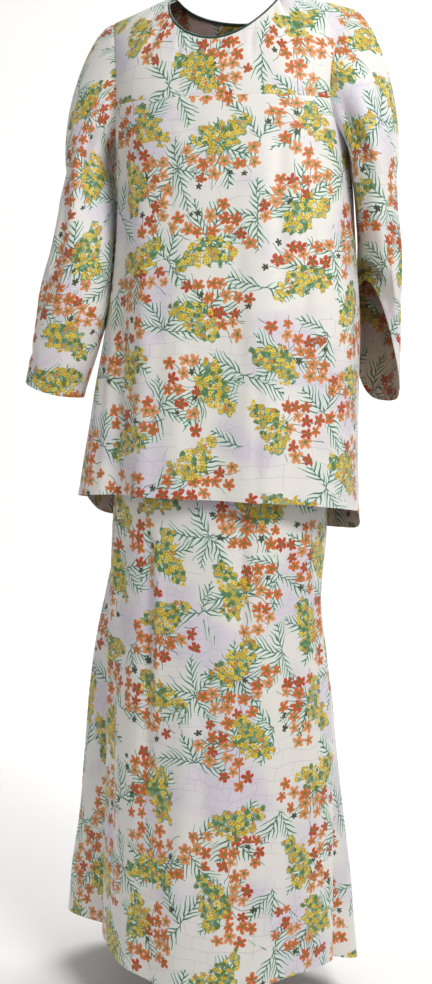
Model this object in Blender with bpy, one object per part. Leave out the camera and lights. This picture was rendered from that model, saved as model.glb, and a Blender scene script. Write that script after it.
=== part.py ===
"""A baju kurung, the Malay two-piece dress: a loose, round-necked tunic with a chest yoke and long
set-in sleeves, over a long flared skirt. The cloth keeps the hollow form that it has when worn.

Metres, +Z up, the front faces -Y. The origin is level with the two neck points, between them.
Every panel is a wall of cloth lofted through sections that the tables below give.
"""

import math
from collections import namedtuple

import bmesh
import bpy
import numpy as np

# Cloth and seams
CLOTH = 0.0012
BAND_CLOTH = 0.0024
SEAM_GAP = 0.0003
STEP = 1e-4  # how far apart the points are that a normal is measured from, in shares of a panel

# Neck and shoulders
NECK_HALF = 0.089
NECK_DROP_FRONT = 0.084
NECK_DROP_BACK = 0.022
NECK_ROUNDNESS = 1.15
SHOULDER_HALF = 0.190
SHOULDER_SLOPE = 0.30
SHOULDER_ROUND_FRONT = 0.100
SHOULDER_ROUND_BACK = 0.085
BINDING_RADIUS = 0.0016

# Heights of the seams and hems
YOKE_SEAM_Z = -0.168
UNDERARM_Z = -0.215
TUNIC_HEM_FRONT_Z = -0.748
TUNIC_HEM_SIDE_Z = -0.767
TUNIC_HEM_BACK_Z = -0.808
HEM_CURVE_FRONT = 2.2  # how suddenly the hem leaves its middle's level for the side seam's
HEM_CURVE_BACK = 6.0
SKIRT_TOP_Z = -0.430
WAISTBAND_HEIGHT = 0.032
SKIRT_HEM_Z = -1.476

# How square a section is: 2 is an ellipse, more is boxier
TUNIC_SQUARENESS = 2.5
SKIRT_SQUARENESS = 2.0
HEM_SQUARENESS = 1.75
HEM_SQUARE_FROM = 0.3  # the share of the skirt's height at which it starts to change

# How the columns of the tunic's panels spread above the underarm
YOKE_NARROWING = 22  # degrees by which a side turns back from the side seam
YOKE_NARROWING_OVER = 0.8  # the rows over which it does
YOKE_ROW_EASE = 1.5  # above 1, the rows are closer together at the shoulder
YOKE_SPREAD_EASE = 0.8  # below 1, the columns move early to their places at the top
SHOULDER_MIDDLE_Z = -0.06  # the yoke's normals point away from a line this far below its points

# Panel grids
ACROSS_TUNIC = 28
ACROSS_NECK = 16  # how many of them end at the neckline
ACROSS_SKIRT = 32
AROUND_BAND = 48
ROWS_BODY = 13
ROWS_UNDERARM = 4
ROWS_YOKE = 7
ROWS_CAP = 5
ROWS_SLEEVE = 12
ROWS_SKIRT = 18

# The tunic's sections: height, half-widths to the wearer's right and left, depths to front and back
TUNIC_SECTIONS = (
    # z, right, left, front, back
    (-0.030, 0.190, 0.190, 0.086, 0.086),
    (-0.080, 0.185, 0.188, 0.097, 0.094),
    (-0.120, 0.181, 0.186, 0.106, 0.101),
    (-0.168, 0.177, 0.184, 0.115, 0.107),
    (-0.215, 0.172, 0.184, 0.122, 0.111),
    (-0.300, 0.166, 0.191, 0.128, 0.115),
    (-0.400, 0.171, 0.200, 0.132, 0.121),
    (-0.500, 0.183, 0.207, 0.136, 0.129),
    (-0.600, 0.200, 0.208, 0.141, 0.137),
    (-0.700, 0.215, 0.211, 0.146, 0.144),
    (-0.808, 0.230, 0.217, 0.152, 0.150),
)

# The armhole seam: its distance from the middle at each height, from the shoulder to the underarm
ARMHOLE = (
    # z, share of the section's half-width
    (-0.030, 1.000),
    (-0.048, 0.962),
    (-0.080, 0.920),
    (-0.120, 0.899),
    (-0.168, 0.912),
    (-0.190, 0.938),
    (-0.205, 0.970),
    (-0.215, 1.000),
)

# Folds in the tunic: where each runs, at the chest and at the hem, and its depth at the hem
TUNIC_FRONT_FOLDS = (
    # x at the chest, x at the hem, top z, depth, half-width
    (-0.136, -0.128, -0.270, -0.019, 0.026),
    (-0.098, -0.080, -0.270, 0.006, 0.018),
    (-0.020, -0.028, -0.330, 0.004, 0.030),
    (0.030, 0.034, -0.260, -0.006, 0.028),
    (0.092, 0.098, -0.300, 0.005, 0.028),
    (0.146, 0.150, -0.300, -0.007, 0.024),
)
TUNIC_BACK_FOLDS = (
    # x at the shoulder blades, x at the hem, top z, depth, half-width
    (-0.120, -0.136, -0.260, -0.010, 0.026),
    (-0.070, -0.078, -0.240, 0.007, 0.028),
    (-0.010, -0.014, -0.280, -0.009, 0.030),
    (0.056, 0.064, -0.240, 0.007, 0.026),
    (0.118, 0.132, -0.260, -0.010, 0.026),
)

# The skirt's sections: height, half-widths to the wearer's right and left, depths to front and
# back, and how far a lobe of cloth stands out behind each side of the front
SKIRT_SECTIONS = (
    # z, right, left, front, back, right lobe, left lobe
    (-0.430, 0.124, 0.124, 0.092, 0.086, 0.000, 0.000),
    (-0.500, 0.146, 0.146, 0.104, 0.098, 0.000, 0.000),
    (-0.600, 0.163, 0.162, 0.116, 0.109, 0.000, 0.000),
    (-0.700, 0.168, 0.165, 0.124, 0.116, 0.000, 0.000),
    (-0.800, 0.173, 0.167, 0.131, 0.123, 0.002, 0.000),
    (-0.900, 0.176, 0.163, 0.136, 0.133, 0.023, 0.000),
    (-1.000, 0.178, 0.174, 0.143, 0.145, 0.045, 0.000),
    (-1.100, 0.178, 0.188, 0.151, 0.157, 0.058, 0.000),
    (-1.200, 0.178, 0.198, 0.160, 0.168, 0.066, 0.003),
    (-1.300, 0.178, 0.203, 0.169, 0.178, 0.074, 0.013),
    (-1.400, 0.178, 0.206, 0.178, 0.187, 0.087, 0.023),
    (-1.476, 0.178, 0.209, 0.184, 0.194, 0.093, 0.029),
)
LOBE_FROM = 84  # degrees from the front at which a side lobe begins
LOBE_RISE = 18  # degrees over which it comes out
LOBE_BACK = 108  # degrees at which it starts to die out
LOBE_FALL = 58  # degrees over which it dies out

# Folds in the skirt, by the angle round it: 0 is the front, 90 the wearer's left, 180 the back
SKIRT_FOLDS = (
    # degrees at the top, degrees at the hem, top z, bottom z, depth, half-width in degrees
    (-86, -88, -0.820, -9.0, -0.022, 7),
    (-50, -46, -0.640, -1.06, -0.008, 6),
    (-60, -58, -0.640, -1.20, 0.004, 7),
    (-24, -20, -0.900, -9.0, -0.005, 9),
    (22, 26, -0.780, -1.08, -0.006, 5),
    (52, 50, -0.740, -9.0, -0.005, 9),
    (90, 90, -1.060, -9.0, -0.016, 6),
    (140, 138, -0.800, -9.0, -0.014, 9),
    (162, 162, -0.800, -9.0, 0.010, 10),
    (182, 184, -0.760, -9.0, -0.018, 9),
    (206, 206, -0.800, -9.0, 0.010, 10),
    (226, 224, -0.840, -9.0, -0.014, 9),
)
FOLD_FADE = 0.30  # the height over which a fold grows to its full depth
FOLD_END = 0.22  # the height over which a fold that ends above the hem dies out
FOLD_SIDE_FADE = 0.12  # the share of the tunic's half-width over which folds die out at the sides

# How the skirt's hem rises above its level, by the angle round it
SKIRT_HEM_RISE = (
    # degrees, rise
    (-180, 0.000),
    (-130, -0.004),
    (-104, -0.003),
    (-86, 0.002),
    (-60, 0.013),
    (-36, 0.006),
    (0, 0.000),
    (26, 0.002),
    (44, 0.008),
    (60, 0.012),
    (84, 0.008),
    (104, -0.008),
    (140, -0.004),
    (180, 0.000),
)

# Sleeve sections below the cap. Angles round a sleeve are 0 beside the body, 90 in front, 180
# outside and 270 behind. lean moves a section's front outward and its back toward the body.
# rise lifts a section at its rise_at angle, so that the hem slopes
SLEEVE_RIGHT_SECTIONS = (
    # low z, x, y, half across, half deep, lean, rise
    (-0.262, -0.2160, -0.018, 0.0340, 0.0630, 0.000, 0.000),
    (-0.320, -0.2138, -0.034, 0.0435, 0.0600, 0.000, 0.003),
    (-0.385, -0.2170, -0.048, 0.0495, 0.0570, 0.000, 0.006),
    (-0.437, -0.2230, -0.056, 0.0530, 0.0550, 0.000, 0.009),
    (-0.475, -0.2268, -0.060, 0.0540, 0.0540, 0.000, 0.012),
    (-0.530, -0.2385, -0.060, 0.0500, 0.0520, 0.000, 0.016),
    (-0.607, -0.2575, -0.057, 0.0430, 0.0500, 0.000, 0.024),
)
SLEEVE_RIGHT_RISE_AT = 180
SLEEVE_LEFT_SECTIONS = (
    # low z, x, y, half across, half deep, lean, rise
    (-0.262, 0.2245, 0.002, 0.0315, 0.0600, 0.005, 0.000),
    (-0.320, 0.2250, 0.020, 0.0300, 0.0590, 0.008, 0.002),
    (-0.385, 0.2275, 0.042, 0.0320, 0.0570, 0.012, 0.018),
    (-0.450, 0.2265, 0.060, 0.0335, 0.0540, 0.016, 0.060),
    (-0.510, 0.2245, 0.075, 0.0350, 0.0510, 0.018, 0.112),
    (-0.560, 0.2230, 0.082, 0.0355, 0.0500, 0.020, 0.154),
    (-0.602, 0.2215, 0.086, 0.0355, 0.0500, 0.020, 0.184),
)
SLEEVE_LEFT_RISE_AT = 50
RISE_SHARPNESS = 1.6  # how closely the rise keeps to its own side
CREASE_FADE = 0.15  # the share of a sleeve's length over which a crease begins or ends
CAP_LEAD = 0.45  # how far up the cap the line of the sleeve below it is carried on
CAP_BULGE_RIGHT = 0.0310  # how far each cap swells over the shoulder
CAP_BULGE_LEFT = 0.0130
CAP_BULGE_NARROW = 1.2  # how closely the swelling keeps to the outside
CAP_BULGE_OUT = 0.93  # the shares of it that go outward and upward
CAP_BULGE_UP = 0.35
CAP_BULGE_HIGH = 0.65  # below 1, the cap is fullest above its middle
UNDERARM_SPREAD = 0.0045  # how far the sleeve's underside stands off the tunic's side
UNDERARM_SPREAD_HIGH = 0.45  # below 1, it stands off most just under the seam

# Long creases in the sleeves: degrees round at the top and the bottom, depth, half-width in degrees
SLEEVE_RIGHT_FOLDS = (
    # degrees at the cap, degrees at the hem, first and last share of the length, depth, half-width
    (52, 70, 0.04, 0.62, -0.008, 15),
    (82, 100, 0.02, 0.70, 0.004, 14),
    (128, 108, 0.30, 0.90, -0.006, 16),
    (238, 246, 0.10, 0.80, -0.007, 20),
)
SLEEVE_LEFT_FOLDS = (
    # degrees at the cap, degrees at the hem, first and last share of the length, depth, half-width
    (66, 92, 0.04, 0.56, -0.008, 15),
    (100, 120, 0.04, 0.60, 0.003, 15),
    (150, 140, 0.40, 0.85, -0.004, 16),
    (250, 246, 0.10, 0.80, -0.006, 18),
)

# What makes one sleeve: its sections, cap and folds, and which edge column of the tunic it joins
Sleeve = namedtuple("Sleeve", "name side sections rise_at bulge folds column")
SLEEVES = (
    Sleeve(
        "sleeve_right",
        -1,
        SLEEVE_RIGHT_SECTIONS,
        SLEEVE_RIGHT_RISE_AT,
        CAP_BULGE_RIGHT,
        SLEEVE_RIGHT_FOLDS,
        0,
    ),
    Sleeve(
        "sleeve_left",
        1,
        SLEEVE_LEFT_SECTIONS,
        SLEEVE_LEFT_RISE_AT,
        CAP_BULGE_LEFT,
        SLEEVE_LEFT_FOLDS,
        -1,
    ),
)

CLOTH_COLOUR = (0.82, 0.79, 0.79, 1.0)
CLOTH_ROUGHNESS = 0.62
BINDING_COLOUR = (0.03, 0.085, 0.06, 1.0)
BINDING_ROUGHNESS = 0.7
SHARP_ANGLE = 50  # degrees above which an edge is shaded as sharp


def curve_through(xs, ys):
    """A smooth curve through the points of a table, which never overshoots them, as a function."""
    order = np.argsort(xs)
    xs = np.asarray(xs, float)[order]
    ys = np.asarray(ys, float)[order]
    gaps = np.diff(xs)
    slopes = np.diff(ys) / gaps
    ends = np.concatenate([[slopes[0]], np.zeros(len(xs) - 2), [slopes[-1]]])
    for i in range(1, len(xs) - 1):
        if slopes[i - 1] * slopes[i] > 0:
            ends[i] = 2 * slopes[i - 1] * slopes[i] / (slopes[i - 1] + slopes[i])

    def value(x):
        x = np.clip(x, xs[0], xs[-1])
        i = np.clip(np.searchsorted(xs, x) - 1, 0, len(gaps) - 1)
        h = gaps[i]
        t = (x - xs[i]) / h
        return (
            ys[i] * (1 + 2 * t) * (1 - t) ** 2
            + h * ends[i] * t * (1 - t) ** 2
            + ys[i + 1] * t * t * (3 - 2 * t)
            + h * ends[i + 1] * t * t * (t - 1)
        )

    return value


def columns(table):
    """One smooth curve for each column of a table after the first, which they all depend on."""
    keys = [row[0] for row in table]
    return [curve_through(keys, [row[c] for row in table]) for c in range(1, len(table[0]))]


def ease(t):
    """0 below 0, 1 above 1, and a smooth rise between."""
    t = np.clip(t, 0.0, 1.0)
    return t * t * (3 - 2 * t)


def bell(distance, half_width):
    return np.exp(-((distance / half_width) ** 2))


def unit(vectors):
    return vectors / np.maximum(np.linalg.norm(vectors, axis=-1, keepdims=True), 1e-12)


TUNIC_RIGHT, TUNIC_LEFT, TUNIC_FRONT, TUNIC_BACK = columns(TUNIC_SECTIONS)
SKIRT_RIGHT, SKIRT_LEFT, SKIRT_FRONT, SKIRT_BACK, LOBE_RIGHT, LOBE_LEFT = columns(SKIRT_SECTIONS)
(ARMHOLE_SHARE,) = columns(ARMHOLE)
(HEM_RISE,) = columns(SKIRT_HEM_RISE)
NECK_SHARE = ACROSS_NECK / ACROSS_TUNIC
SHOULDER_TIP_Z = -SHOULDER_SLOPE * (SHOULDER_HALF - NECK_HALF)


def shoulder_z(x):
    """Height of the shoulder line, carried on in a straight line over the neck opening."""
    return -SHOULDER_SLOPE * (np.abs(x) - NECK_HALF)


def fold_depth(x, z, folds, foot_z):
    """How far the tunic's folds move the cloth outward at x and z."""
    total = np.zeros(np.broadcast(x, z).shape)
    for x_top, x_foot, top, depth, half_width in folds:
        down = np.clip((top - z) / (top - foot_z), 0, 1)
        x_here = x_top + (x_foot - x_top) * down
        total = total + depth * ease((top - z) / FOLD_FADE) * bell(x - x_here, half_width)
    return total


def tunic_point(x, z, facing):
    """The tunic's outer surface at x and z; facing is -1 for the front and 1 for the back."""
    half = np.where(x < 0, TUNIC_RIGHT(z), TUNIC_LEFT(z))
    depth = TUNIC_FRONT(z) if facing < 0 else TUNIC_BACK(z)
    rounding = SHOULDER_ROUND_FRONT if facing < 0 else SHOULDER_ROUND_BACK
    across = np.clip(np.abs(x) / half, 0, 1)
    below = np.clip((shoulder_z(x) - z) / rounding, 0, 1)
    closing = np.sqrt(1 - (1 - below) ** 2)
    y = depth * (1 - across**TUNIC_SQUARENESS) ** (1 / TUNIC_SQUARENESS) * closing
    folds = TUNIC_FRONT_FOLDS if facing < 0 else TUNIC_BACK_FOLDS
    clear_of_side = ease((1 - across) / FOLD_SIDE_FADE)
    y = y + fold_depth(x, z, folds, TUNIC_HEM_SIDE_Z) * clear_of_side
    return np.stack([x, facing * y, z], -1)


def ring_share(s, widest):
    """Share of the half-width that column s reaches, in a panel that spans widest degrees a side."""
    power = 2 / TUNIC_SQUARENESS
    turned = np.sin(np.abs(s) * np.radians(widest)) ** power
    return np.sign(s) * turned / np.sin(np.radians(widest)) ** power


def neckline(s, drop):
    """x and z where column s ends: on the neckline in the middle, on the shoulder seam outside."""
    turn = np.clip(np.abs(s) / NECK_SHARE, 0, 1) * math.pi / 2
    out = np.clip((np.abs(s) - NECK_SHARE) / (1 - NECK_SHARE), 0, 1)
    x = NECK_HALF * np.sin(turn) + (SHOULDER_HALF - NECK_HALF) * out
    z = -drop * np.cos(turn) ** NECK_ROUNDNESS + shoulder_z(x) * (out > 0)
    return np.sign(s) * x, z


def tunic_panel(s, v, facing):
    """The front or back. s runs from -1 to 1 across it. v runs up it: 0 at the hem, 1 at the
    underarm, 2 at the height of the yoke seam and 3 at the neckline and shoulders."""
    hem_middle = TUNIC_HEM_FRONT_Z if facing < 0 else TUNIC_HEM_BACK_Z
    hem_curve = HEM_CURVE_FRONT if facing < 0 else HEM_CURVE_BACK
    drop = NECK_DROP_FRONT if facing < 0 else NECK_DROP_BACK
    hem_z = hem_middle + (TUNIC_HEM_SIDE_Z - hem_middle) * np.abs(s) ** hem_curve
    top_x, top_z = neckline(s, drop)
    up = 1 - (1 - np.clip(v - 2, 0, 1)) ** YOKE_ROW_EASE
    z = np.where(v < 1, hem_z + (UNDERARM_Z - hem_z) * v, UNDERARM_Z)
    z = z + (YOKE_SEAM_Z - UNDERARM_Z) * np.clip(v - 1, 0, 1)
    side_z = z + (SHOULDER_TIP_Z - YOKE_SEAM_Z) * up
    z = z + (top_z - YOKE_SEAM_Z) * up
    side_z = np.where(v < 1, z, side_z)
    edge = np.where(v < 1, 1.0, ARMHOLE_SHARE(side_z))
    half = np.where(s < 0, TUNIC_RIGHT(side_z), TUNIC_LEFT(side_z)) * edge
    widest = 90 - YOKE_NARROWING * ease((v - 1) / YOKE_NARROWING_OVER)
    share = ring_share(s, widest)
    share = share + (top_x / SHOULDER_HALF - share) * ease(v - 2) ** YOKE_SPREAD_EASE
    return tunic_point(half * share, z, facing)


def skirt_fold_depth(degrees, z):
    """How far the skirt's side lobes and folds move the cloth outward at an angle and height."""
    around = (degrees + 180) % 360 - 180
    lobe = np.where(around < 0, LOBE_RIGHT(z), LOBE_LEFT(z))
    coming = ease((np.abs(around) - LOBE_FROM) / LOBE_RISE)
    going = 1 - ease((np.abs(around) - LOBE_BACK) / LOBE_FALL)
    total = lobe * coming * going
    for at_top, at_hem, top, bottom, depth, half_width in SKIRT_FOLDS:
        here = at_top + (at_hem - at_top) * np.clip((top - z) / (top - SKIRT_HEM_Z), 0, 1)
        away = (degrees - here + 180) % 360 - 180
        grown = ease((top - z) / FOLD_FADE) * ease((z - bottom) / FOLD_END)
        total = total + depth * grown * bell(away, half_width)
    return total


def skirt_point(degrees, v):
    """The skirt's outer surface, at an angle round it. v is 0 at the waist and 1 at the hem."""
    hem_z = SKIRT_HEM_Z + HEM_RISE((degrees + 180) % 360 - 180)
    z = SKIRT_TOP_Z + (hem_z - SKIRT_TOP_Z) * v
    turn = np.radians(degrees)
    change = ease((v - HEM_SQUARE_FROM) / (1 - HEM_SQUARE_FROM))
    squareness = SKIRT_SQUARENESS + (HEM_SQUARENESS - SKIRT_SQUARENESS) * change
    across, along = np.sin(turn), -np.cos(turn)
    half = np.where(across < 0, SKIRT_RIGHT(z), SKIRT_LEFT(z))
    deep = np.where(along < 0, SKIRT_FRONT(z), SKIRT_BACK(z))
    x = half * np.sign(across) * np.abs(across) ** (2 / squareness)
    y = deep * np.sign(along) * np.abs(along) ** (2 / squareness)
    out = unit(np.stack([x / half**2, y / deep**2], -1)) * skirt_fold_depth(degrees, z)[..., None]
    return np.stack([x + out[..., 0], y + out[..., 1], z], -1)


def normals_of(surface, first, second):
    """Unit normals of a surface at a grid of its two parameters, one-sided at the ends."""
    a_low, a_high = np.maximum(first - STEP, first.min()), np.minimum(first + STEP, first.max())
    b_low, b_high = np.maximum(second - STEP, second.min()), np.minimum(second + STEP, second.max())
    along_a = surface(a_high, second) - surface(a_low, second)
    along_b = surface(first, b_high) - surface(first, b_low)
    return unit(np.cross(along_a, along_b))


def facing_out(normals, points, middle):
    """The normals, each turned to point away from a line of points down the middle."""
    away = points - middle
    turned = np.where((normals * away).sum(-1, keepdims=True) < 0, -1.0, 1.0)
    return normals * turned


def pulled_in(points, edges):
    """The grid with the named edges moved half a seam gap into the panel."""
    moved = points.copy()
    for row, inner in ((0, 1), (-1, -2)):
        if ("bottom" if row == 0 else "top") in edges:
            moved[row] += unit(points[inner] - points[row]) * SEAM_GAP / 2
        if ("right" if row == 0 else "left") in edges:
            moved[:, row] += unit(points[:, inner] - points[:, row]) * SEAM_GAP / 2
    return moved


def material(name, colour, roughness):
    made = bpy.data.materials.new(name)
    made.use_nodes = True
    shader = made.node_tree.nodes["Principled BSDF"]
    shader.inputs["Base Color"].default_value = colour
    shader.inputs["Roughness"].default_value = roughness
    shader.inputs["Metallic"].default_value = 0.0
    return made


def cloth_wall(name, outer, normals, thickness, finish, closed=False):
    """A closed wall of cloth: its outer skin is the grid, its inner skin lies one thickness in."""
    rows, across = outer.shape[:2]
    inner = outer - normals * thickness
    points = np.concatenate([outer.reshape(-1, 3), inner.reshape(-1, 3)])
    skin = rows * across
    turns = across if closed else across - 1
    faces = []
    for r in range(rows - 1):
        for c in range(turns):
            a, b = r * across + c, r * across + (c + 1) % across
            faces.append((a, b, b + across, a + across))
            faces.append((skin + a, skin + a + across, skin + b + across, skin + b))
    for r in (0, rows - 1):
        for c in range(turns):
            a, b = r * across + c, r * across + (c + 1) % across
            faces.append((a, b, skin + b, skin + a))
    if not closed:
        for c in (0, across - 1):
            for r in range(rows - 1):
                a = r * across + c
                faces.append((a, a + across, skin + a + across, skin + a))
    mesh = bpy.data.meshes.new(name)
    mesh.from_pydata([tuple(p) for p in points], [], faces)
    tidy = bmesh.new()
    tidy.from_mesh(mesh)
    bmesh.ops.recalc_face_normals(tidy, faces=tidy.faces)
    tidy.to_mesh(mesh)
    tidy.free()
    mesh.shade_smooth()
    mesh.set_sharp_from_angle(angle=math.radians(SHARP_ANGLE))
    mesh.materials.append(finish)
    made = bpy.data.objects.new(name, mesh)
    GARMENT.objects.link(made)
    return made


def tunic_grid(facing, rows):
    """Points and normals of the tunic's front or back at a list of heights v."""
    s, v = np.meshgrid(np.linspace(-1, 1, ACROSS_TUNIC + 1), rows)
    points = tunic_panel(s, v, facing)
    normals = normals_of(lambda a, b: tunic_panel(a, b, facing), s, v)
    middle = points * [0, 0, 1] + [0, 0, SHOULDER_MIDDLE_Z] * (v[..., None] > 2)
    return points, facing_out(normals, points, middle)


def sleeve_ring(sleeve, degrees, down):
    """The sleeve below its cap, at an angle round it and a row of its table."""
    rows = [(i, *row) for i, row in enumerate(sleeve.sections)]
    low, x, y, across, deep, lean, rise = columns(rows)
    turn = np.radians(degrees)
    lift = ((1 + np.cos(turn - math.radians(sleeve.rise_at))) / 2) ** RISE_SHARPNESS
    return np.stack(
        [
            x(down) + sleeve.side * (lean(down) * np.sin(turn) - across(down) * np.cos(turn)),
            y(down) - deep(down) * np.sin(turn),
            low(down) + rise(down) * lift,
        ],
        -1,
    )


def sleeve_fold_depth(sleeve, degrees, along):
    """How far a sleeve's creases move the cloth outward, at an angle and a share of its length."""
    total = np.zeros(np.shape(along))
    for at_cap, at_hem, first, last, depth, half_width in sleeve.folds:
        here = at_cap + (at_hem - at_cap) * along
        grown = ease((along - first) / CREASE_FADE) * ease((last - along) / CREASE_FADE)
        total = total + depth * grown * bell(degrees - here, half_width)
    return total


def sleeve_point(sleeve, degrees, share, seam):
    """A sleeve's outer surface. share is 0 at the armhole, 1 where the cap ends and 2 at the hem;
    seam gives the armhole seam's point at an angle."""
    turn = np.radians(degrees)
    start = seam(degrees)
    end = sleeve_ring(sleeve, degrees, np.zeros_like(share))
    onward = unit(sleeve_ring(sleeve, degrees, np.full_like(share, STEP)) - end)
    length = np.linalg.norm(end - start, axis=-1, keepdims=True)
    cap = np.clip(share, 0, 1)[..., None]
    leading = end - (1 - cap) * length * CAP_LEAD * onward
    points = start + (leading - start) * (1 - (1 - cap) ** 2)
    outside = np.clip(-np.cos(turn), 0, 1)[..., None] ** CAP_BULGE_NARROW
    bulge = sleeve.bulge * np.sin(math.pi * cap**CAP_BULGE_HIGH) * outside
    under = np.clip(np.cos(turn), 0, 1)[..., None]
    spread = UNDERARM_SPREAD * np.sin(math.pi * cap**UNDERARM_SPREAD_HIGH) * under
    points = points + bulge * [sleeve.side * CAP_BULGE_OUT, 0, CAP_BULGE_UP]
    points = points + spread * [sleeve.side, 0, 0]
    down = np.clip(share - 1, 0, 1) * (len(sleeve.sections) - 1)
    points = points + sleeve_ring(sleeve, degrees, down) - end
    out = np.stack([-sleeve.side * np.cos(turn), -np.sin(turn), np.zeros_like(turn)], -1)
    return points + out * sleeve_fold_depth(sleeve, degrees, share / 2)[..., None]


def sleeve_grid(sleeve, seam_points):
    """Points and normals of a sleeve whose first ring is the armhole's loop of points."""
    loop = np.concatenate([seam_points, seam_points[:1]])
    run = np.concatenate([[0], np.cumsum(np.linalg.norm(np.diff(loop, axis=0), axis=1))])
    angles = 360 * run / run[-1]

    def seam(degrees):
        around = np.mod(degrees, 360)
        return np.stack([np.interp(around, angles, loop[:, k]) for k in range(3)], -1)

    cap_shares = np.linspace(0, 1, ROWS_CAP + 1)
    lower_shares = 1 + np.linspace(0, 1, ROWS_SLEEVE + 1)[1:]
    degrees, share = np.meshgrid(angles[:-1], np.concatenate([cap_shares, lower_shares]))
    points = sleeve_point(sleeve, degrees, share, seam)
    ahead = np.roll(points, -1, axis=1) - np.roll(points, 1, axis=1)
    below = np.gradient(points, axis=0)
    normals = unit(np.cross(ahead, below))
    return points, facing_out(normals, points, points.mean(axis=1, keepdims=True))


def binding(yoke, back):
    """The narrow rolled binding on the neckline: the edge's own points, moved into the opening."""
    first = (ACROSS_TUNIC - ACROSS_NECK) // 2
    last = first + ACROSS_NECK
    edge, up = (
        np.concatenate([yoke[k][-1, first:last], back[k][-1, last:first:-1]]) for k in (0, 1)
    )
    along = np.roll(edge, -1, axis=0) - np.roll(edge, 1, axis=0)
    inward = facing_out(unit(np.cross(up, along)), edge.mean(axis=0), edge)
    loop = edge + inward * (BINDING_RADIUS + SEAM_GAP) - up * CLOTH / 2
    curve = bpy.data.curves.new("neck_binding", "CURVE")
    curve.dimensions = "3D"
    curve.bevel_depth = BINDING_RADIUS
    curve.bevel_resolution = 1
    spline = curve.splines.new("POLY")
    spline.points.add(len(loop) - 1)
    for point, place in zip(spline.points, loop):
        point.co = (*place, 1.0)
    spline.use_cyclic_u = True
    curve.materials.append(BINDING)
    made = bpy.data.objects.new("neck_binding", curve)
    GARMENT.objects.link(made)


def join_sleeve(sleeve, front, yoke, back):
    """Builds a sleeve on the armhole's points. Each of front, yoke and back is a pair of points and
    normals, and their rims on the seam and the sleeve's get the same normals, so that they match."""
    column = sleeve.column
    seam, seam_normals = (
        np.concatenate(
            [
                front[k][ROWS_BODY:, column],
                yoke[k][1:, column],
                back[k][ROWS_BODY:, column][::-1][1:-1],
            ]
        )
        for k in (0, 1)
    )
    points, normals = sleeve_grid(sleeve, seam)
    shared = unit(seam_normals + normals[0])
    yoke_from = ROWS_UNDERARM + 1
    yoke_to = yoke_from + ROWS_YOKE
    normals[0] = shared
    front[1][ROWS_BODY:, column] = shared[:yoke_from]
    yoke[1][:, column] = shared[yoke_from - 1 : yoke_to]
    back[1][ROWS_BODY:, column] = np.concatenate([shared[:1], shared[yoke_to - 1 :][::-1]])
    cloth_wall(sleeve.name, pulled_in(points, ["bottom"]), normals, CLOTH, PRINT, closed=True)


def tunic():
    body_rows = np.linspace(0, 1, ROWS_BODY + 1)
    underarm_rows = 1 + np.linspace(0, 1, ROWS_UNDERARM + 1)[1:]
    yoke_rows = 2 + np.linspace(0, 1, ROWS_YOKE + 1)
    front_rows = np.concatenate([body_rows, underarm_rows])
    front = tunic_grid(-1, front_rows)
    yoke = tunic_grid(-1, yoke_rows)
    back = tunic_grid(1, np.concatenate([front_rows, yoke_rows[1:]]))
    for sleeve in SLEEVES:
        join_sleeve(sleeve, front, yoke, back)
    for name, panel, sewn in (
        ("tunic_front", front, ["top", "left", "right"]),
        ("tunic_yoke", yoke, ["top", "left", "right", "bottom"]),
        ("tunic_back", back, ["top", "left", "right"]),
    ):
        cloth_wall(name, pulled_in(panel[0], sewn), panel[1], CLOTH, PRINT)
    binding(yoke, back)


def skirt():
    middle = np.array([0, 0, 1.0])
    for name, start in (("skirt_front", -90), ("skirt_back", 90)):
        angles = np.linspace(start, start + 180, ACROSS_SKIRT + 1)
        degrees, v = np.meshgrid(angles, np.linspace(0, 1, ROWS_SKIRT + 1))
        points = skirt_point(degrees, v)
        wide = skirt_point(degrees + STEP, v) - skirt_point(degrees - STEP, v)
        low = skirt_point(degrees, v + STEP) - skirt_point(degrees, v - STEP)
        normals = facing_out(unit(np.cross(wide, low)), points, points * middle)
        cloth_wall(name, pulled_in(points, ["bottom", "left", "right"]), normals, CLOTH, PRINT)
    around = np.linspace(0, 360, AROUND_BAND + 1)[:-1]
    degrees, v = np.meshgrid(around, [0.0, 0.0])
    ring = skirt_point(degrees, v)
    out = unit(ring * [1, 1, 0])
    heights = np.array([SEAM_GAP / 2, WAISTBAND_HEIGHT])[:, None, None]
    outer = ring + out * (BAND_CLOTH - CLOTH) / 2 + heights * middle
    cloth_wall("skirt_waistband", outer, out, BAND_CLOTH, PRINT, closed=True)


for old in list(bpy.data.objects):
    bpy.data.objects.remove(old)
GARMENT = bpy.data.collections.new("baju_kurung")
bpy.context.scene.collection.children.link(GARMENT)
PRINT = material("printed_cloth", CLOTH_COLOUR, CLOTH_ROUGHNESS)
BINDING = material("neck_binding", BINDING_COLOUR, BINDING_ROUGHNESS)
tunic()
skirt()
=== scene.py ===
"""The looks of the baju kurung: thin shells of printed cloth on the forms of its solids.

Metres, +Z up, the front faces -Y. The shapes below repeat the part's own tables and surfaces, on
finer grids and with the small creases added.
"""

import math
from collections import namedtuple

import bmesh
import bpy
import numpy as np
from mathutils import Matrix, Vector


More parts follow.
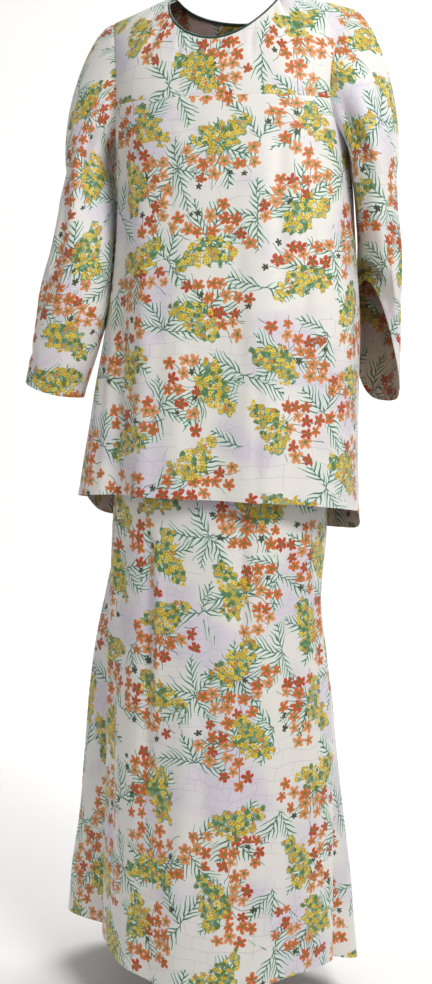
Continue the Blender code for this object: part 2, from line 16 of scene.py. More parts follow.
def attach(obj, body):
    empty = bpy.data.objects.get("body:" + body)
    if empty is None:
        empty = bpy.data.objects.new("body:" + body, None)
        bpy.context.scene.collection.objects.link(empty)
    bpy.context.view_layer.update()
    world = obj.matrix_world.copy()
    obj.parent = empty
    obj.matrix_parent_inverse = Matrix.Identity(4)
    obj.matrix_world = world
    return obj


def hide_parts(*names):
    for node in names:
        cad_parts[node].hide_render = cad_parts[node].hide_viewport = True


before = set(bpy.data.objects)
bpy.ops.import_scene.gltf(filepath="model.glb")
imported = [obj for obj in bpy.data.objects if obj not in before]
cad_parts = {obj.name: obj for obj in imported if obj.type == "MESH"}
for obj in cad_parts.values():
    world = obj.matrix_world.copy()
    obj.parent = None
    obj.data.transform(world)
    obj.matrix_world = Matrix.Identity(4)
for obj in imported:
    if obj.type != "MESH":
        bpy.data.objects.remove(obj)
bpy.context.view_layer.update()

# Cloth and seams
CLOTH = 0.0012
BAND_CLOTH = 0.0024
SEAM_GAP = 0.0003
STEP = 1e-4  # how far apart the points are that a normal is measured from, in shares of a panel

# Neck and shoulders
NECK_HALF = 0.089
NECK_DROP_FRONT = 0.084
NECK_DROP_BACK = 0.022
NECK_ROUNDNESS = 1.15
SHOULDER_HALF = 0.190
SHOULDER_SLOPE = 0.30
SHOULDER_ROUND_FRONT = 0.100
SHOULDER_ROUND_BACK = 0.085

# Heights of the seams and hems
YOKE_SEAM_Z = -0.168
UNDERARM_Z = -0.215
TUNIC_HEM_FRONT_Z = -0.748
TUNIC_HEM_SIDE_Z = -0.767
TUNIC_HEM_BACK_Z = -0.808
HEM_CURVE_FRONT = 2.2  # how suddenly the hem leaves its middle's level for the side seam's
HEM_CURVE_BACK = 6.0
SKIRT_TOP_Z = -0.430
WAISTBAND_HEIGHT = 0.032
SKIRT_HEM_Z = -1.476

# How square a section is: 2 is an ellipse, more is boxier
TUNIC_SQUARENESS = 2.5
SKIRT_SQUARENESS = 2.0
HEM_SQUARENESS = 1.75
HEM_SQUARE_FROM = 0.3  # the share of the skirt's height at which it starts to change

# How the columns of the tunic's panels spread above the underarm
YOKE_NARROWING = 22  # degrees by which a side turns back from the side seam
YOKE_NARROWING_OVER = 0.8  # the rows over which it does
YOKE_ROW_EASE = 1.5  # above 1, the rows are closer together at the shoulder
YOKE_SPREAD_EASE = 0.8  # below 1, the columns move early to their places at the top
SHOULDER_MIDDLE_Z = -0.06  # the yoke's normals point away from a line this far below its points
NECK_SHARE = 4 / 7  # the share of a panel's columns that end at the neckline

# The tunic's sections: height, half-widths to the wearer's right and left, depths to front and back
TUNIC_SECTIONS = (
    # z, right, left, front, back
    (-0.030, 0.190, 0.190, 0.086, 0.086),
    (-0.080, 0.185, 0.188, 0.097, 0.094),
    (-0.120, 0.181, 0.186, 0.106, 0.101),
    (-0.168, 0.177, 0.184, 0.115, 0.107),
    (-0.215, 0.172, 0.184, 0.122, 0.111),
    (-0.300, 0.166, 0.191, 0.128, 0.115),
    (-0.400, 0.171, 0.200, 0.132, 0.121),
    (-0.500, 0.183, 0.207, 0.136, 0.129),
    (-0.600, 0.200, 0.208, 0.141, 0.137),
    (-0.700, 0.215, 0.211, 0.146, 0.144),
    (-0.808, 0.230, 0.217, 0.152, 0.150),
)

# The armhole seam: its distance from the middle at each height, from the shoulder to the underarm
ARMHOLE = (
    # z, share of the section's half-width
    (-0.030, 1.000),
    (-0.048, 0.962),
    (-0.080, 0.920),
    (-0.120, 0.899),
    (-0.168, 0.912),
    (-0.190, 0.938),
    (-0.205, 0.970),
    (-0.215, 1.000),
)

# Folds in the tunic: where each runs, at the chest and at the hem, and its depth at the hem
TUNIC_FRONT_FOLDS = (
    # x at the chest, x at the hem, top z, depth, half-width
    (-0.136, -0.128, -0.270, -0.019, 0.026),
    (-0.098, -0.080, -0.270, 0.006, 0.018),
    (-0.020, -0.028, -0.330, 0.004, 0.030),
    (0.030, 0.034, -0.260, -0.006, 0.028),
    (0.092, 0.098, -0.300, 0.005, 0.028),
    (0.146, 0.150, -0.300, -0.007, 0.024),
)
TUNIC_BACK_FOLDS = (
    # x at the shoulder blades, x at the hem, top z, depth, half-width
    (-0.120, -0.136, -0.260, -0.010, 0.026),
    (-0.070, -0.078, -0.240, 0.007, 0.028),
    (-0.010, -0.014, -0.280, -0.009, 0.030),
    (0.056, 0.064, -0.240, 0.007, 0.026),
    (0.118, 0.132, -0.260, -0.010, 0.026),
)

# The skirt's sections: height, half-widths to the wearer's right and left, depths to front and
# back, and how far a lobe of cloth stands out behind each side of the front
SKIRT_SECTIONS = (
    # z, right, left, front, back, right lobe, left lobe
    (-0.430, 0.124, 0.124, 0.092, 0.086, 0.000, 0.000),
    (-0.500, 0.146, 0.146, 0.104, 0.098, 0.000, 0.000),
    (-0.600, 0.163, 0.162, 0.116, 0.109, 0.000, 0.000),
    (-0.700, 0.168, 0.165, 0.124, 0.116, 0.000, 0.000),
    (-0.800, 0.173, 0.167, 0.131, 0.123, 0.002, 0.000),
    (-0.900, 0.176, 0.163, 0.136, 0.133, 0.023, 0.000),
    (-1.000, 0.178, 0.174, 0.143, 0.145, 0.045, 0.000),
    (-1.100, 0.178, 0.188, 0.151, 0.157, 0.058, 0.000),
    (-1.200, 0.178, 0.198, 0.160, 0.168, 0.066, 0.003),
    (-1.300, 0.178, 0.203, 0.169, 0.178, 0.074, 0.013),
    (-1.400, 0.178, 0.206, 0.178, 0.187, 0.087, 0.023),
    (-1.476, 0.178, 0.209, 0.184, 0.194, 0.093, 0.029),
)
LOBE_FROM = 84  # degrees from the front at which a side lobe begins
LOBE_RISE = 18  # degrees over which it comes out
LOBE_BACK = 108  # degrees at which it starts to die out
LOBE_FALL = 58  # degrees over which it dies out

# Folds in the skirt, by the angle round it: 0 is the front, 90 the wearer's left, 180 the back
SKIRT_FOLDS = (
    # degrees at the top, degrees at the hem, top z, bottom z, depth, half-width in degrees
    (-86, -88, -0.820, -9.0, -0.022, 7),
    (-50, -46, -0.640, -1.06, -0.008, 6),
    (-60, -58, -0.640, -1.20, 0.004, 7),
    (-24, -20, -0.900, -9.0, -0.005, 9),
    (22, 26, -0.780, -1.08, -0.006, 5),
    (52, 50, -0.740, -9.0, -0.005, 9),
    (90, 90, -1.060, -9.0, -0.016, 6),
    (140, 138, -0.800, -9.0, -0.014, 9),
    (162, 162, -0.800, -9.0, 0.010, 10),
    (182, 184, -0.760, -9.0, -0.018, 9),
    (206, 206, -0.800, -9.0, 0.010, 10),
    (226, 224, -0.840, -9.0, -0.014, 9),
)
FOLD_FADE = 0.30  # the height over which a fold grows to its full depth
FOLD_END = 0.22  # the height over which a fold that ends above the hem dies out
FOLD_SIDE_FADE = 0.12  # the share of the tunic's half-width over which folds die out at the sides

# How the skirt's hem rises above its level, by the angle round it
SKIRT_HEM_RISE = (
    # degrees, rise
    (-180, 0.000),
    (-130, -0.004),
    (-104, -0.003),
    (-86, 0.002),
    (-60, 0.013),
    (-36, 0.006),
    (0, 0.000),
    (26, 0.002),
    (44, 0.008),
    (60, 0.012),
    (84, 0.008),
    (104, -0.008),
    (140, -0.004),
    (180, 0.000),
)

# Sleeve sections below the cap. Angles round a sleeve are 0 beside the body, 90 in front, 180
# outside and 270 behind. lean moves a section's front outward and its back toward the body.
# rise lifts a section at its rise_at angle, so that the hem slopes
SLEEVE_RIGHT_SECTIONS = (
    # low z, x, y, half across, half deep, lean, rise
    (-0.262, -0.2160, -0.018, 0.0340, 0.0630, 0.000, 0.000),
    (-0.320, -0.2138, -0.034, 0.0435, 0.0600, 0.000, 0.003),
    (-0.385, -0.2170, -0.048, 0.0495, 0.0570, 0.000, 0.006),
    (-0.437, -0.2230, -0.056, 0.0530, 0.0550, 0.000, 0.009),
    (-0.475, -0.2268, -0.060, 0.0540, 0.0540, 0.000, 0.012),
    (-0.530, -0.2385, -0.060, 0.0500, 0.0520, 0.000, 0.016),
    (-0.607, -0.2575, -0.057, 0.0430, 0.0500, 0.000, 0.024),
)
SLEEVE_LEFT_SECTIONS = (
    # low z, x, y, half across, half deep, lean, rise
    (-0.262, 0.2245, 0.002, 0.0315, 0.0600, 0.005, 0.000),
    (-0.320, 0.2250, 0.020, 0.0300, 0.0590, 0.008, 0.002),
    (-0.385, 0.2275, 0.042, 0.0320, 0.0570, 0.012, 0.018),
    (-0.450, 0.2265, 0.060, 0.0335, 0.0540, 0.016, 0.060),
    (-0.510, 0.2245, 0.075, 0.0350, 0.0510, 0.018, 0.112),
    (-0.560, 0.2230, 0.082, 0.0355, 0.0500, 0.020, 0.154),
    (-0.602, 0.2215, 0.086, 0.0355, 0.0500, 0.020, 0.184),
)
RISE_SHARPNESS = 1.6  # how closely the rise keeps to its own side
CREASE_FADE = 0.15  # the share of a sleeve's length over which a crease begins or ends
CAP_LEAD = 0.45  # how far up the cap the line of the sleeve below it is carried on
CAP_BULGE_NARROW = 1.2  # how closely the swelling keeps to the outside
CAP_BULGE_OUT = 0.93  # the shares of it that go outward and upward
CAP_BULGE_UP = 0.35
CAP_BULGE_HIGH = 0.65  # below 1, the cap is fullest above its middle
UNDERARM_SPREAD = 0.0045  # how far the sleeve's underside stands off the tunic's side
UNDERARM_SPREAD_HIGH = 0.45  # below 1, it stands off most just under the seam

# Long creases in the sleeves: degrees round at the top and the bottom, depth, half-width in degrees
SLEEVE_RIGHT_FOLDS = (
    # degrees at the cap, degrees at the hem, first and last share of the length, depth, half-width
    (52, 70, 0.04, 0.62, -0.008, 15),
    (82, 100, 0.02, 0.70, 0.004, 14),
    (128, 108, 0.30, 0.90, -0.006, 16),
    (238, 246, 0.10, 0.80, -0.007, 20),
)
SLEEVE_LEFT_FOLDS = (
    # degrees at the cap, degrees at the hem, first and last share of the length, depth, half-width
    (66, 92, 0.04, 0.56, -0.008, 15),
    (100, 120, 0.04, 0.60, 0.003, 15),
    (150, 140, 0.40, 0.85, -0.004, 16),
    (250, 246, 0.10, 0.80, -0.006, 18),
)

# What makes one sleeve: the side it is on, its sections, the angle at which its hem rises most, how
# far its cap swells over the shoulder, its folds, and the edge column of the tunic that it joins
Sleeve = namedtuple("Sleeve", "name side sections rise_at bulge folds column")
SLEEVES = (
    Sleeve("sleeve_right", -1, SLEEVE_RIGHT_SECTIONS, 180, 0.0310, SLEEVE_RIGHT_FOLDS, 0),
    Sleeve("sleeve_left", 1, SLEEVE_LEFT_SECTIONS, 40, 0.0130, SLEEVE_LEFT_FOLDS, -1),
)
SHARP_ANGLE = 50  # degrees above which an edge is shaded as sharp


def curve_through(xs, ys):
    """A smooth curve through the points of a table, which never overshoots them, as a function."""
    order = np.argsort(xs)
    xs = np.asarray(xs, float)[order]
    ys = np.asarray(ys, float)[order]
    gaps = np.diff(xs)
    slopes = np.diff(ys) / gaps
    ends = np.concatenate([[slopes[0]], np.zeros(len(xs) - 2), [slopes[-1]]])
    for i in range(1, len(xs) - 1):
        if slopes[i - 1] * slopes[i] > 0:
            ends[i] = 2 * slopes[i - 1] * slopes[i] / (slopes[i - 1] + slopes[i])

    def value(x):
        x = np.clip(x, xs[0], xs[-1])
        i = np.clip(np.searchsorted(xs, x) - 1, 0, len(gaps) - 1)
        h = gaps[i]
        t = (x - xs[i]) / h
        return (
            ys[i] * (1 + 2 * t) * (1 - t) ** 2
            + h * ends[i] * t * (1 - t) ** 2
            + ys[i + 1] * t * t * (3 - 2 * t)
            + h * ends[i + 1] * t * t * (t - 1)
        )

    return value


def columns(table):
    """One smooth curve for each column of a table after the first, which they all depend on."""
    keys = [row[0] for row in table]
    return [curve_through(keys, [row[c] for row in table]) for c in range(1, len(table[0]))]


def ease(t):
    """0 below 0, 1 above 1, and a smooth rise between."""
    t = np.clip(t, 0.0, 1.0)
    return t * t * (3 - 2 * t)


def bell(distance, half_width):
    return np.exp(-((distance / half_width) ** 2))


def unit(vectors):
    return vectors / np.maximum(np.linalg.norm(vectors, axis=-1, keepdims=True), 1e-12)


TUNIC_RIGHT, TUNIC_LEFT, TUNIC_FRONT, TUNIC_BACK = columns(TUNIC_SECTIONS)
SKIRT_RIGHT, SKIRT_LEFT, SKIRT_FRONT, SKIRT_BACK, LOBE_RIGHT, LOBE_LEFT = columns(SKIRT_SECTIONS)
(ARMHOLE_SHARE,) = columns(ARMHOLE)
(HEM_RISE,) = columns(SKIRT_HEM_RISE)
SHOULDER_TIP_Z = -SHOULDER_SLOPE * (SHOULDER_HALF - NECK_HALF)


def shoulder_z(x):
    """Height of the shoulder line, carried on in a straight line over the neck opening."""
    return -SHOULDER_SLOPE * (np.abs(x) - NECK_HALF)


def fold_depth(x, z, folds, foot_z):
    """How far the tunic's folds move the cloth outward at x and z."""
    total = np.zeros(np.broadcast(x, z).shape)
    for x_top, x_foot, top, depth, half_width in folds:
        down = np.clip((top - z) / (top - foot_z), 0, 1)
        x_here = x_top + (x_foot - x_top) * down
        total = total + depth * ease((top - z) / FOLD_FADE) * bell(x - x_here, half_width)
    return total


def tunic_point(x, z, facing):
    """The tunic's outer surface at x and z; facing is -1 for the front and 1 for the back."""
    half = np.where(x < 0, TUNIC_RIGHT(z), TUNIC_LEFT(z))
    depth = TUNIC_FRONT(z) if facing < 0 else TUNIC_BACK(z)
    rounding = SHOULDER_ROUND_FRONT if facing < 0 else SHOULDER_ROUND_BACK
    across = np.clip(np.abs(x) / half, 0, 1)
    below = np.clip((shoulder_z(x) - z) / rounding, 0, 1)
    closing = np.sqrt(1 - (1 - below) ** 2)
    y = depth * (1 - across**TUNIC_SQUARENESS) ** (1 / TUNIC_SQUARENESS) * closing
    folds = TUNIC_FRONT_FOLDS if facing < 0 else TUNIC_BACK_FOLDS
    clear_of_side = ease((1 - across) / FOLD_SIDE_FADE)
    y = y + fold_depth(x, z, folds, TUNIC_HEM_SIDE_Z) * clear_of_side
    return np.stack([x, facing * y, z], -1)


def ring_share(s, widest):
    """Share of the half-width that column s reaches, in a panel spanning widest degrees a side."""
    power = 2 / TUNIC_SQUARENESS
    turned = np.sin(np.abs(s) * np.radians(widest)) ** power
    return np.sign(s) * turned / np.sin(np.radians(widest)) ** power


def neckline(s, drop):
    """x and z where column s ends: on the neckline in the middle, on the shoulder seam outside."""
    turn = np.clip(np.abs(s) / NECK_SHARE, 0, 1) * math.pi / 2
    out = np.clip((np.abs(s) - NECK_SHARE) / (1 - NECK_SHARE), 0, 1)
    x = NECK_HALF * np.sin(turn) + (SHOULDER_HALF - NECK_HALF) * out
    z = -drop * np.cos(turn) ** NECK_ROUNDNESS + shoulder_z(x) * (out > 0)
    return np.sign(s) * x, z


def tunic_panel(s, v, facing):
    """The front or back. s runs from -1 to 1 across it. v runs up it: 0 at the hem, 1 at the
    underarm, 2 at the height of the yoke seam and 3 at the neckline and shoulders."""
    hem_middle = TUNIC_HEM_FRONT_Z if facing < 0 else TUNIC_HEM_BACK_Z
    hem_curve = HEM_CURVE_FRONT if facing < 0 else HEM_CURVE_BACK
    drop = NECK_DROP_FRONT if facing < 0 else NECK_DROP_BACK
    hem_z = hem_middle + (TUNIC_HEM_SIDE_Z - hem_middle) * np.abs(s) ** hem_curve
    top_x, top_z = neckline(s, drop)
    up = 1 - (1 - np.clip(v - 2, 0, 1)) ** YOKE_ROW_EASE
    z = np.where(v < 1, hem_z + (UNDERARM_Z - hem_z) * v, UNDERARM_Z)
    z = z + (YOKE_SEAM_Z - UNDERARM_Z) * np.clip(v - 1, 0, 1)
    side_z = z + (SHOULDER_TIP_Z - YOKE_SEAM_Z) * up
    z = z + (top_z - YOKE_SEAM_Z) * up
    side_z = np.where(v < 1, z, side_z)
    edge = np.where(v < 1, 1.0, ARMHOLE_SHARE(side_z))
    half = np.where(s < 0, TUNIC_RIGHT(side_z), TUNIC_LEFT(side_z)) * edge
    widest = 90 - YOKE_NARROWING * ease((v - 1) / YOKE_NARROWING_OVER)
    share = ring_share(s, widest)
    share = share + (top_x / SHOULDER_HALF - share) * ease(v - 2) ** YOKE_SPREAD_EASE
    return tunic_point(half * share, z, facing)


def skirt_fold_depth(degrees, z):
    """How far the skirt's side lobes and folds move the cloth outward at an angle and height."""
    around = (degrees + 180) % 360 - 180
    lobe = np.where(around < 0, LOBE_RIGHT(z), LOBE_LEFT(z))
    coming = ease((np.abs(around) - LOBE_FROM) / LOBE_RISE)
    going = 1 - ease((np.abs(around) - LOBE_BACK) / LOBE_FALL)
    total = lobe * coming * going
    for at_top, at_hem, top, bottom, depth, half_width in SKIRT_FOLDS:
        here = at_top + (at_hem - at_top) * np.clip((top - z) / (top - SKIRT_HEM_Z), 0, 1)
        away = (degrees - here + 180) % 360 - 180
        grown = ease((top - z) / FOLD_FADE) * ease((z - bottom) / FOLD_END)
        total = total + depth * grown * bell(away, half_width)
    return total


def skirt_point(degrees, v):
    """The skirt's outer surface, at an angle round it. v is 0 at the waist and 1 at the hem."""
    hem_z = SKIRT_HEM_Z + HEM_RISE((degrees + 180) % 360 - 180)
    z = SKIRT_TOP_Z + (hem_z - SKIRT_TOP_Z) * v
    turn = np.radians(degrees)
    change = ease((v - HEM_SQUARE_FROM) / (1 - HEM_SQUARE_FROM))
    squareness = SKIRT_SQUARENESS + (HEM_SQUARENESS - SKIRT_SQUARENESS) * change
    across, along = np.sin(turn), -np.cos(turn)
    half = np.where(across < 0, SKIRT_RIGHT(z), SKIRT_LEFT(z))
    deep = np.where(along < 0, SKIRT_FRONT(z), SKIRT_BACK(z))
    x = half * np.sign(across) * np.abs(across) ** (2 / squareness)
    y = deep * np.sign(along) * np.abs(along) ** (2 / squareness)
    out = unit(np.stack([x / half**2, y / deep**2], -1)) * skirt_fold_depth(degrees, z)[..., None]
    return np.stack([x + out[..., 0], y + out[..., 1], z], -1)


def facing_out(normals, points, middle):
    """The normals, each turned to point away from a line of points down the middle."""
    away = points - middle
    turned = np.where((normals * away).sum(-1, keepdims=True) < 0, -1.0, 1.0)
    return normals * turned


def sleeve_ring(sleeve, degrees, down):
    """The sleeve below its cap, at an angle round it and a row of its table."""
    rows = [(i, *row) for i, row in enumerate(sleeve.sections)]
    low, x, y, across, deep, lean, rise = columns(rows)
    turn = np.radians(degrees)
    lift = ((1 + np.cos(turn - math.radians(sleeve.rise_at))) / 2) ** RISE_SHARPNESS
    return np.stack(
        [
            x(down) + sleeve.side * (lean(down) * np.sin(turn) - across(down) * np.cos(turn)),
            y(down) - deep(down) * np.sin(turn),
            low(down) + rise(down) * lift,
        ],
        -1,
    )


def sleeve_fold_depth(sleeve, degrees, along):
    """How far a sleeve's creases move the cloth outward, at an angle and a share of its length."""
    total = np.zeros(np.shape(along))
    for at_cap, at_hem, first, last, depth, half_width in sleeve.folds:
        here = at_cap + (at_hem - at_cap) * along
        grown = ease((along - first) / CREASE_FADE) * ease((last - along) / CREASE_FADE)
        total = total + depth * grown * bell(degrees - here, half_width)
    return total


def sleeve_point(sleeve, degrees, share, seam):
    """A sleeve's outer surface. share is 0 at the armhole, 1 where the cap ends and 2 at the hem;
    seam gives the armhole seam's point at an angle."""
    turn = np.radians(degrees)
    start = seam(degrees)
    end = sleeve_ring(sleeve, degrees, np.zeros_like(share))
    onward = unit(sleeve_ring(sleeve, degrees, np.full_like(share, STEP)) - end)
    length = np.linalg.norm(end - start, axis=-1, keepdims=True)
    cap = np.clip(share, 0, 1)[..., None]
    leading = end - (1 - cap) * length * CAP_LEAD * onward
    points = start + (leading - start) * (1 - (1 - cap) ** 2)
    outside = np.clip(-np.cos(turn), 0, 1)[..., None] ** CAP_BULGE_NARROW
    bulge = sleeve.bulge * np.sin(math.pi * cap**CAP_BULGE_HIGH) * outside
    under = np.clip(np.cos(turn), 0, 1)[..., None]
    spread = UNDERARM_SPREAD * np.sin(math.pi * cap**UNDERARM_SPREAD_HIGH) * under
    points = points + bulge * [sleeve.side * CAP_BULGE_OUT, 0, CAP_BULGE_UP]
    points = points + spread * [sleeve.side, 0, 0]
    down = np.clip(share - 1, 0, 1) * (len(sleeve.sections) - 1)
    points = points + sleeve_ring(sleeve, degrees, down) - end
    out = np.stack([-sleeve.side * np.cos(turn), -np.sin(turn), np.zeros_like(turn)], -1)
    return points + out * sleeve_fold_depth(sleeve, degrees, share / 2)[..., None]


# Shells
SHELL = 0.0008  # the visible cloth's thickness
STITCH_PITCH, STITCH_LENGTH, STITCH_RADIUS = 0.0034, 0.0023, 0.00026
BINDING_SHELL = 0.0004
BINDING_SHIFT = 0.0010  # how far the binding's middle lies inside the neckline's edge
BINDING_HALF = (0.0021, 0.0016)  # its half-widths along the cloth and across it
SEAM_RAISE = 0.0006  # how far a panel stands above its own seams
SEAM_WIDTH = 0.0018
SEAM_CALM = 0.02  # how far from a seam the creases die out
# Distances from a hem's edge at which a row of points lies
HEM_STEPS = (0, 0.0008, 0.0022, 0.0045, 0.007, 0.0095, 0.0108, 0.012, 0.0132, 0.015, 0.018)
STITCH_ROW = 7  # which of them the hem's stitches follow
HEM_RAISE = 0.0005  # how far a turned hem stands out
HEM_SOFT = 0.003  # the width over which it does
STITCH_GROOVE = 0.0012  # the width of the groove that its stitches pull
COLUMN_EXTRAS = (0.0014, 0.0045, 0.010)  # extra columns beside a seam

# Columns and rows of points in each piece
TUNIC_COLUMNS = 140
BODY_ROWS = 120
CHEST_ROWS = 14
YOKE_ROWS = 46
SKIRT_COLUMNS = 130
SKIRT_ROWS = 210
SLEEVE_COLUMNS = 96
CAP_ROWS = 34
ARM_ROWS = 96
BAND_COLUMNS = 240
BAND_ROWS = 15
SIDES_OF_STITCH = 6

# How much nearer the left sleeve hangs to the side than its solid: most, height, span
NEARER, NEAREST_Z, NEAR_SPAN = 0.0055, -0.215, 0.062

CREASE_STRENGTH = 1.5  # how much deeper every crease is than its table says
CREASE_ENDS = 0.7  # below 1, a crease keeps its depth nearly to its ends
# Creases listed in millimetres of cloth: from u, v to u, v, how far they bow, depth and
# half-width. u and v are 0 at the piece's middle: the yoke's lower edge, the underarm, the end of
# a sleeve's cap or the waist
CREASES = {
    "tunic_yoke": (
        (-52, 50, -50, 118, 2, -1.6, 3.5),
        (-36, 50, -37, 126, -2, -2, 4),
        (-21, 50, -20, 110, 1, -1.4, 3.2),
        (-4, 50, -6, 122, 2, -1.8, 4.2),
        (15, 50, 16, 104, -1, -1.2, 3.6),
        (62, 52, 66, 110, 2, -1.2, 5),
        (-110, 50, -100, 130, 6, -1.8, 8),
        (104, 140, 128, 60, 6, -2.2, 9),
        (130, 200, 150, 70, -6, -2.2, 8),
        (-148, 190, -156, 70, 6, -2, 8),
    ),
    "tunic_front": (
        (-150, 30, -172, -300, 10, -3, 11),
        (-118, -180, -124, -520, -8, 2.2, 12),
        (-60, 20, -52, -140, 6, -1.2, 9),
        (-18, -260, -12, -540, 8, -2.6, 13),
        (40, -100, 60, -420, 10, -2.2, 14),
        (112, 30, 128, -260, -8, -2.8, 11),
        (155, -60, 140, -330, 10, -3, 12),
        (88, -330, 92, -545, 4, -2.4, 10),
        (-190, -260, -186, -545, 4, -3, 12),
        (190, -300, 186, -545, -4, -2.6, 12),
    ),
    "tunic_back": (
        (-120, 20, -136, -330, 12, -3.2, 12),
        (-50, -60, -46, -500, -8, -2.8, 14),
        (12, 60, 4, -240, 8, -2, 12),
        (44, -200, 52, -560, 6, -3, 13),
        (118, 10, 134, -360, -10, -3, 12),
        (-98, -300, -94, -570, -4, -2.8, 11),
        (160, -120, 168, -480, 6, -2.8, 12),
    ),
    "sleeve_right": (
        (10, -20, -12, -210, 12, 3.2, 8),
        (-30, -50, -50, -230, 10, -3.4, 8),
        (-70, -120, -30, -260, 10, -3, 8),
        (40, -210, -40, -290, 14, -3.6, 8),
        (60, -280, -20, -350, 10, -3, 8.5),
        (90, -180, 60, -330, -10, -3, 9),
        (-20, -380, -60, -500, -8, -2.6, 9),
        (30, -420, 10, -560, 6, -2.2, 9),
    ),
    "sleeve_left": (
        (10, -20, -10, -190, -12, 3, 8),
        (-30, -40, -56, -220, -10, -3.2, 8),
        (-10, -180, -60, -280, 12, -3.2, 8),
        (40, -200, -20, -300, -10, -3, 8.5),
        (70, -260, 10, -360, 10, -2.8, 9),
        (30, -340, -20, -440, -6, -2.6, 9),
        (100, -120, 80, -320, 8, -2.8, 10),
    ),
    "skirt_front": (
        (-88, -340, -80, -780, 12, -4, 12),
        (-66, -360, -62, -700, 8, 2.6, 10),
        (72, -300, 80, -560, -6, -4.4, 10),
        (10, -420, 16, -980, 16, -2.6, 18),
        (140, -360, 160, -820, 10, -3.2, 14),
        (-150, -520, -160, -1000, -10, -3.4, 15),
        (-30, -640, -40, -1020, 8, -2.8, 16),
        (100, -700, 104, -1030, -8, -3, 15),
        (-200, -300, -190, -560, 8, -3, 12),
        (210, -420, 216, -760, 8, -2.6, 14),
    ),
    "skirt_back": (
        (-120, -300, -130, -800, 12, -4, 14),
        (-40, -340, -30, -900, -12, -3.6, 15),
        (60, -320, 70, -760, 10, -3.8, 14),
        (150, -400, 166, -960, 12, -3.6, 15),
        (10, -600, 12, -1020, 6, -3, 16),
        (-220, -420, -236, -980, 10, -3.4, 15),
    ),
    "skirt_waistband": (),
}
RIPPLE_BREAK = 1.7  # how often a metre the ripples die out and begin again
RIPPLES = (
    # waves a metre across and up, phase, height
    (7.0, 2.0, 0.3, 0.00050),
    (11.0, -3.0, 1.7, 0.00035),
    (4.0, 5.0, 2.9, 0.00045),
    (17.0, 6.0, 4.2, 0.00020),
    (23.0, -9.0, 5.1, 0.00012),
)

# Each piece of cloth: where its print begins, how it is held and what it hangs from
SHEETS = {
    "tunic_yoke": ((0.31, 0.02), "hung", ["cloth_tunic_back"]),
    "tunic_front": ((0.047, 0.55), "hung", ["cloth_tunic_yoke"]),
    "tunic_back": ((1.23, 0.41), "hung", ["cloth_tunic_yoke"]),
    "sleeve_right": ((2.06, 0.13), "hung", ["cloth_tunic_yoke", "cloth_tunic_back"]),
    "sleeve_left": ((2.83, 0.87), "hung", ["cloth_tunic_yoke", "cloth_tunic_back"]),
    "skirt_front": ((3.52, 1.32), "hung", ["cloth_skirt_waistband"]),
    "skirt_back": ((4.71, 1.71), "hung", ["cloth_skirt_waistband"]),
    "skirt_waistband": ((5.66, 0.37), "stretched", ["cloth_skirt_back"]),
}


def run_along(points, axis):
    """Length along a grid of points, from 0 at its start."""
    steps = np.linalg.norm(np.diff(points, axis=axis), axis=-1)
    return np.concatenate([np.zeros_like(steps.take([0], axis)), np.cumsum(steps, axis)], axis)


def grid_normals(points, closed, middle):
    if closed:
        across = np.roll(points[:, :-1], -1, axis=1) - np.roll(points[:, :-1], 1, axis=1)
        across = np.concatenate([across, across[:, :1]], axis=1)
    else:
        across = np.gradient(points, axis=1)
    return facing_out(unit(np.cross(across, np.gradient(points, axis=0))), points, middle)


def crease_height(u, v, creases):
    """How far the creases and the ripples lift the cloth at u and v."""
    total = np.zeros_like(u)
    for crease in creases:
        u1, v1, u2, v2, bow, depth, half_width = (n / 1000 for n in crease)
        run_u, run_v = u2 - u1, v2 - v1
        length = math.hypot(run_u, run_v)
        t = np.clip(((u - u1) * run_u + (v - v1) * run_v) / length**2, 0, 1)
        curve = bow * 4 * t * (1 - t)
        to_u = u - (u1 + run_u * t - run_v / length * curve)
        to_v = v - (v1 + run_v * t + run_u / length * curve)
        along = np.sin(math.pi * t) ** CREASE_ENDS
        total += CREASE_STRENGTH * depth * bell(np.hypot(to_u, to_v), half_width) * along
    for across, up, phase, height in RIPPLES:
        wave = np.sin(2 * math.pi * (across * u + up * v) + phase)
        total += height * wave * np.sin(2 * math.pi * RIPPLE_BREAK * v + phase)
    return total


def shell(name, points, origin, middle, sewn, hem=None, closed=False, level=None):
    """One piece of cloth from a grid of points. origin is the row and column where u and v are 0,
    sewn names the edges with a seam, and hem is the row of a turned hem, 0 or -1. A closed grid
    repeats its first column at its end, and u is level from the row called level onward."""
    run_u = run_along(points, 1)
    run_v = run_along(points, 0)
    if level is not None:
        run_u[level:] = run_along(points[level:] * [1, 1, 0], 1)
    u = run_u - run_u[:, origin[1] : origin[1] + 1]
    v = run_v - run_v[origin[0] : origin[0] + 1]
    if points[-1, :, 2].mean() < points[0, :, 2].mean():
        v = -v
    normals = grid_normals(points, closed, middle)
    edges = {
        "first_row": run_v,
        "last_row": run_v[-1:] - run_v,
        "first_column": run_u,
        "last_column": run_u[:, -1:] - run_u,
    }
    calm = np.ones_like(u)
    groove = np.ones_like(u)
    for edge in sewn:
        calm = calm * ease(edges[edge] / SEAM_CALM)
        groove = groove * (1 - bell(edges[edge], SEAM_WIDTH))
    height = crease_height(u, v, CREASES[name]) * calm + SEAM_RAISE * groove
    if hem is not None:
        away = edges["first_row"] if hem == 0 else edges["last_row"]
        height += HEM_RAISE * (1 - ease((away - HEM_STEPS[STITCH_ROW]) / HEM_SOFT))
        height -= HEM_RAISE * bell(away - HEM_STEPS[STITCH_ROW], STITCH_GROOVE)
    outer = points + normals * height[..., None]
    normals = grid_normals(outer, closed, middle)
    made = skin_mesh("cloth_" + name, outer, normals, u, v, closed, SHEETS[name][0])
    width = u.max() - u.min()
    length = v.max() - v.min()
    made["measured"] = [width, length]
    return made, outer, normals


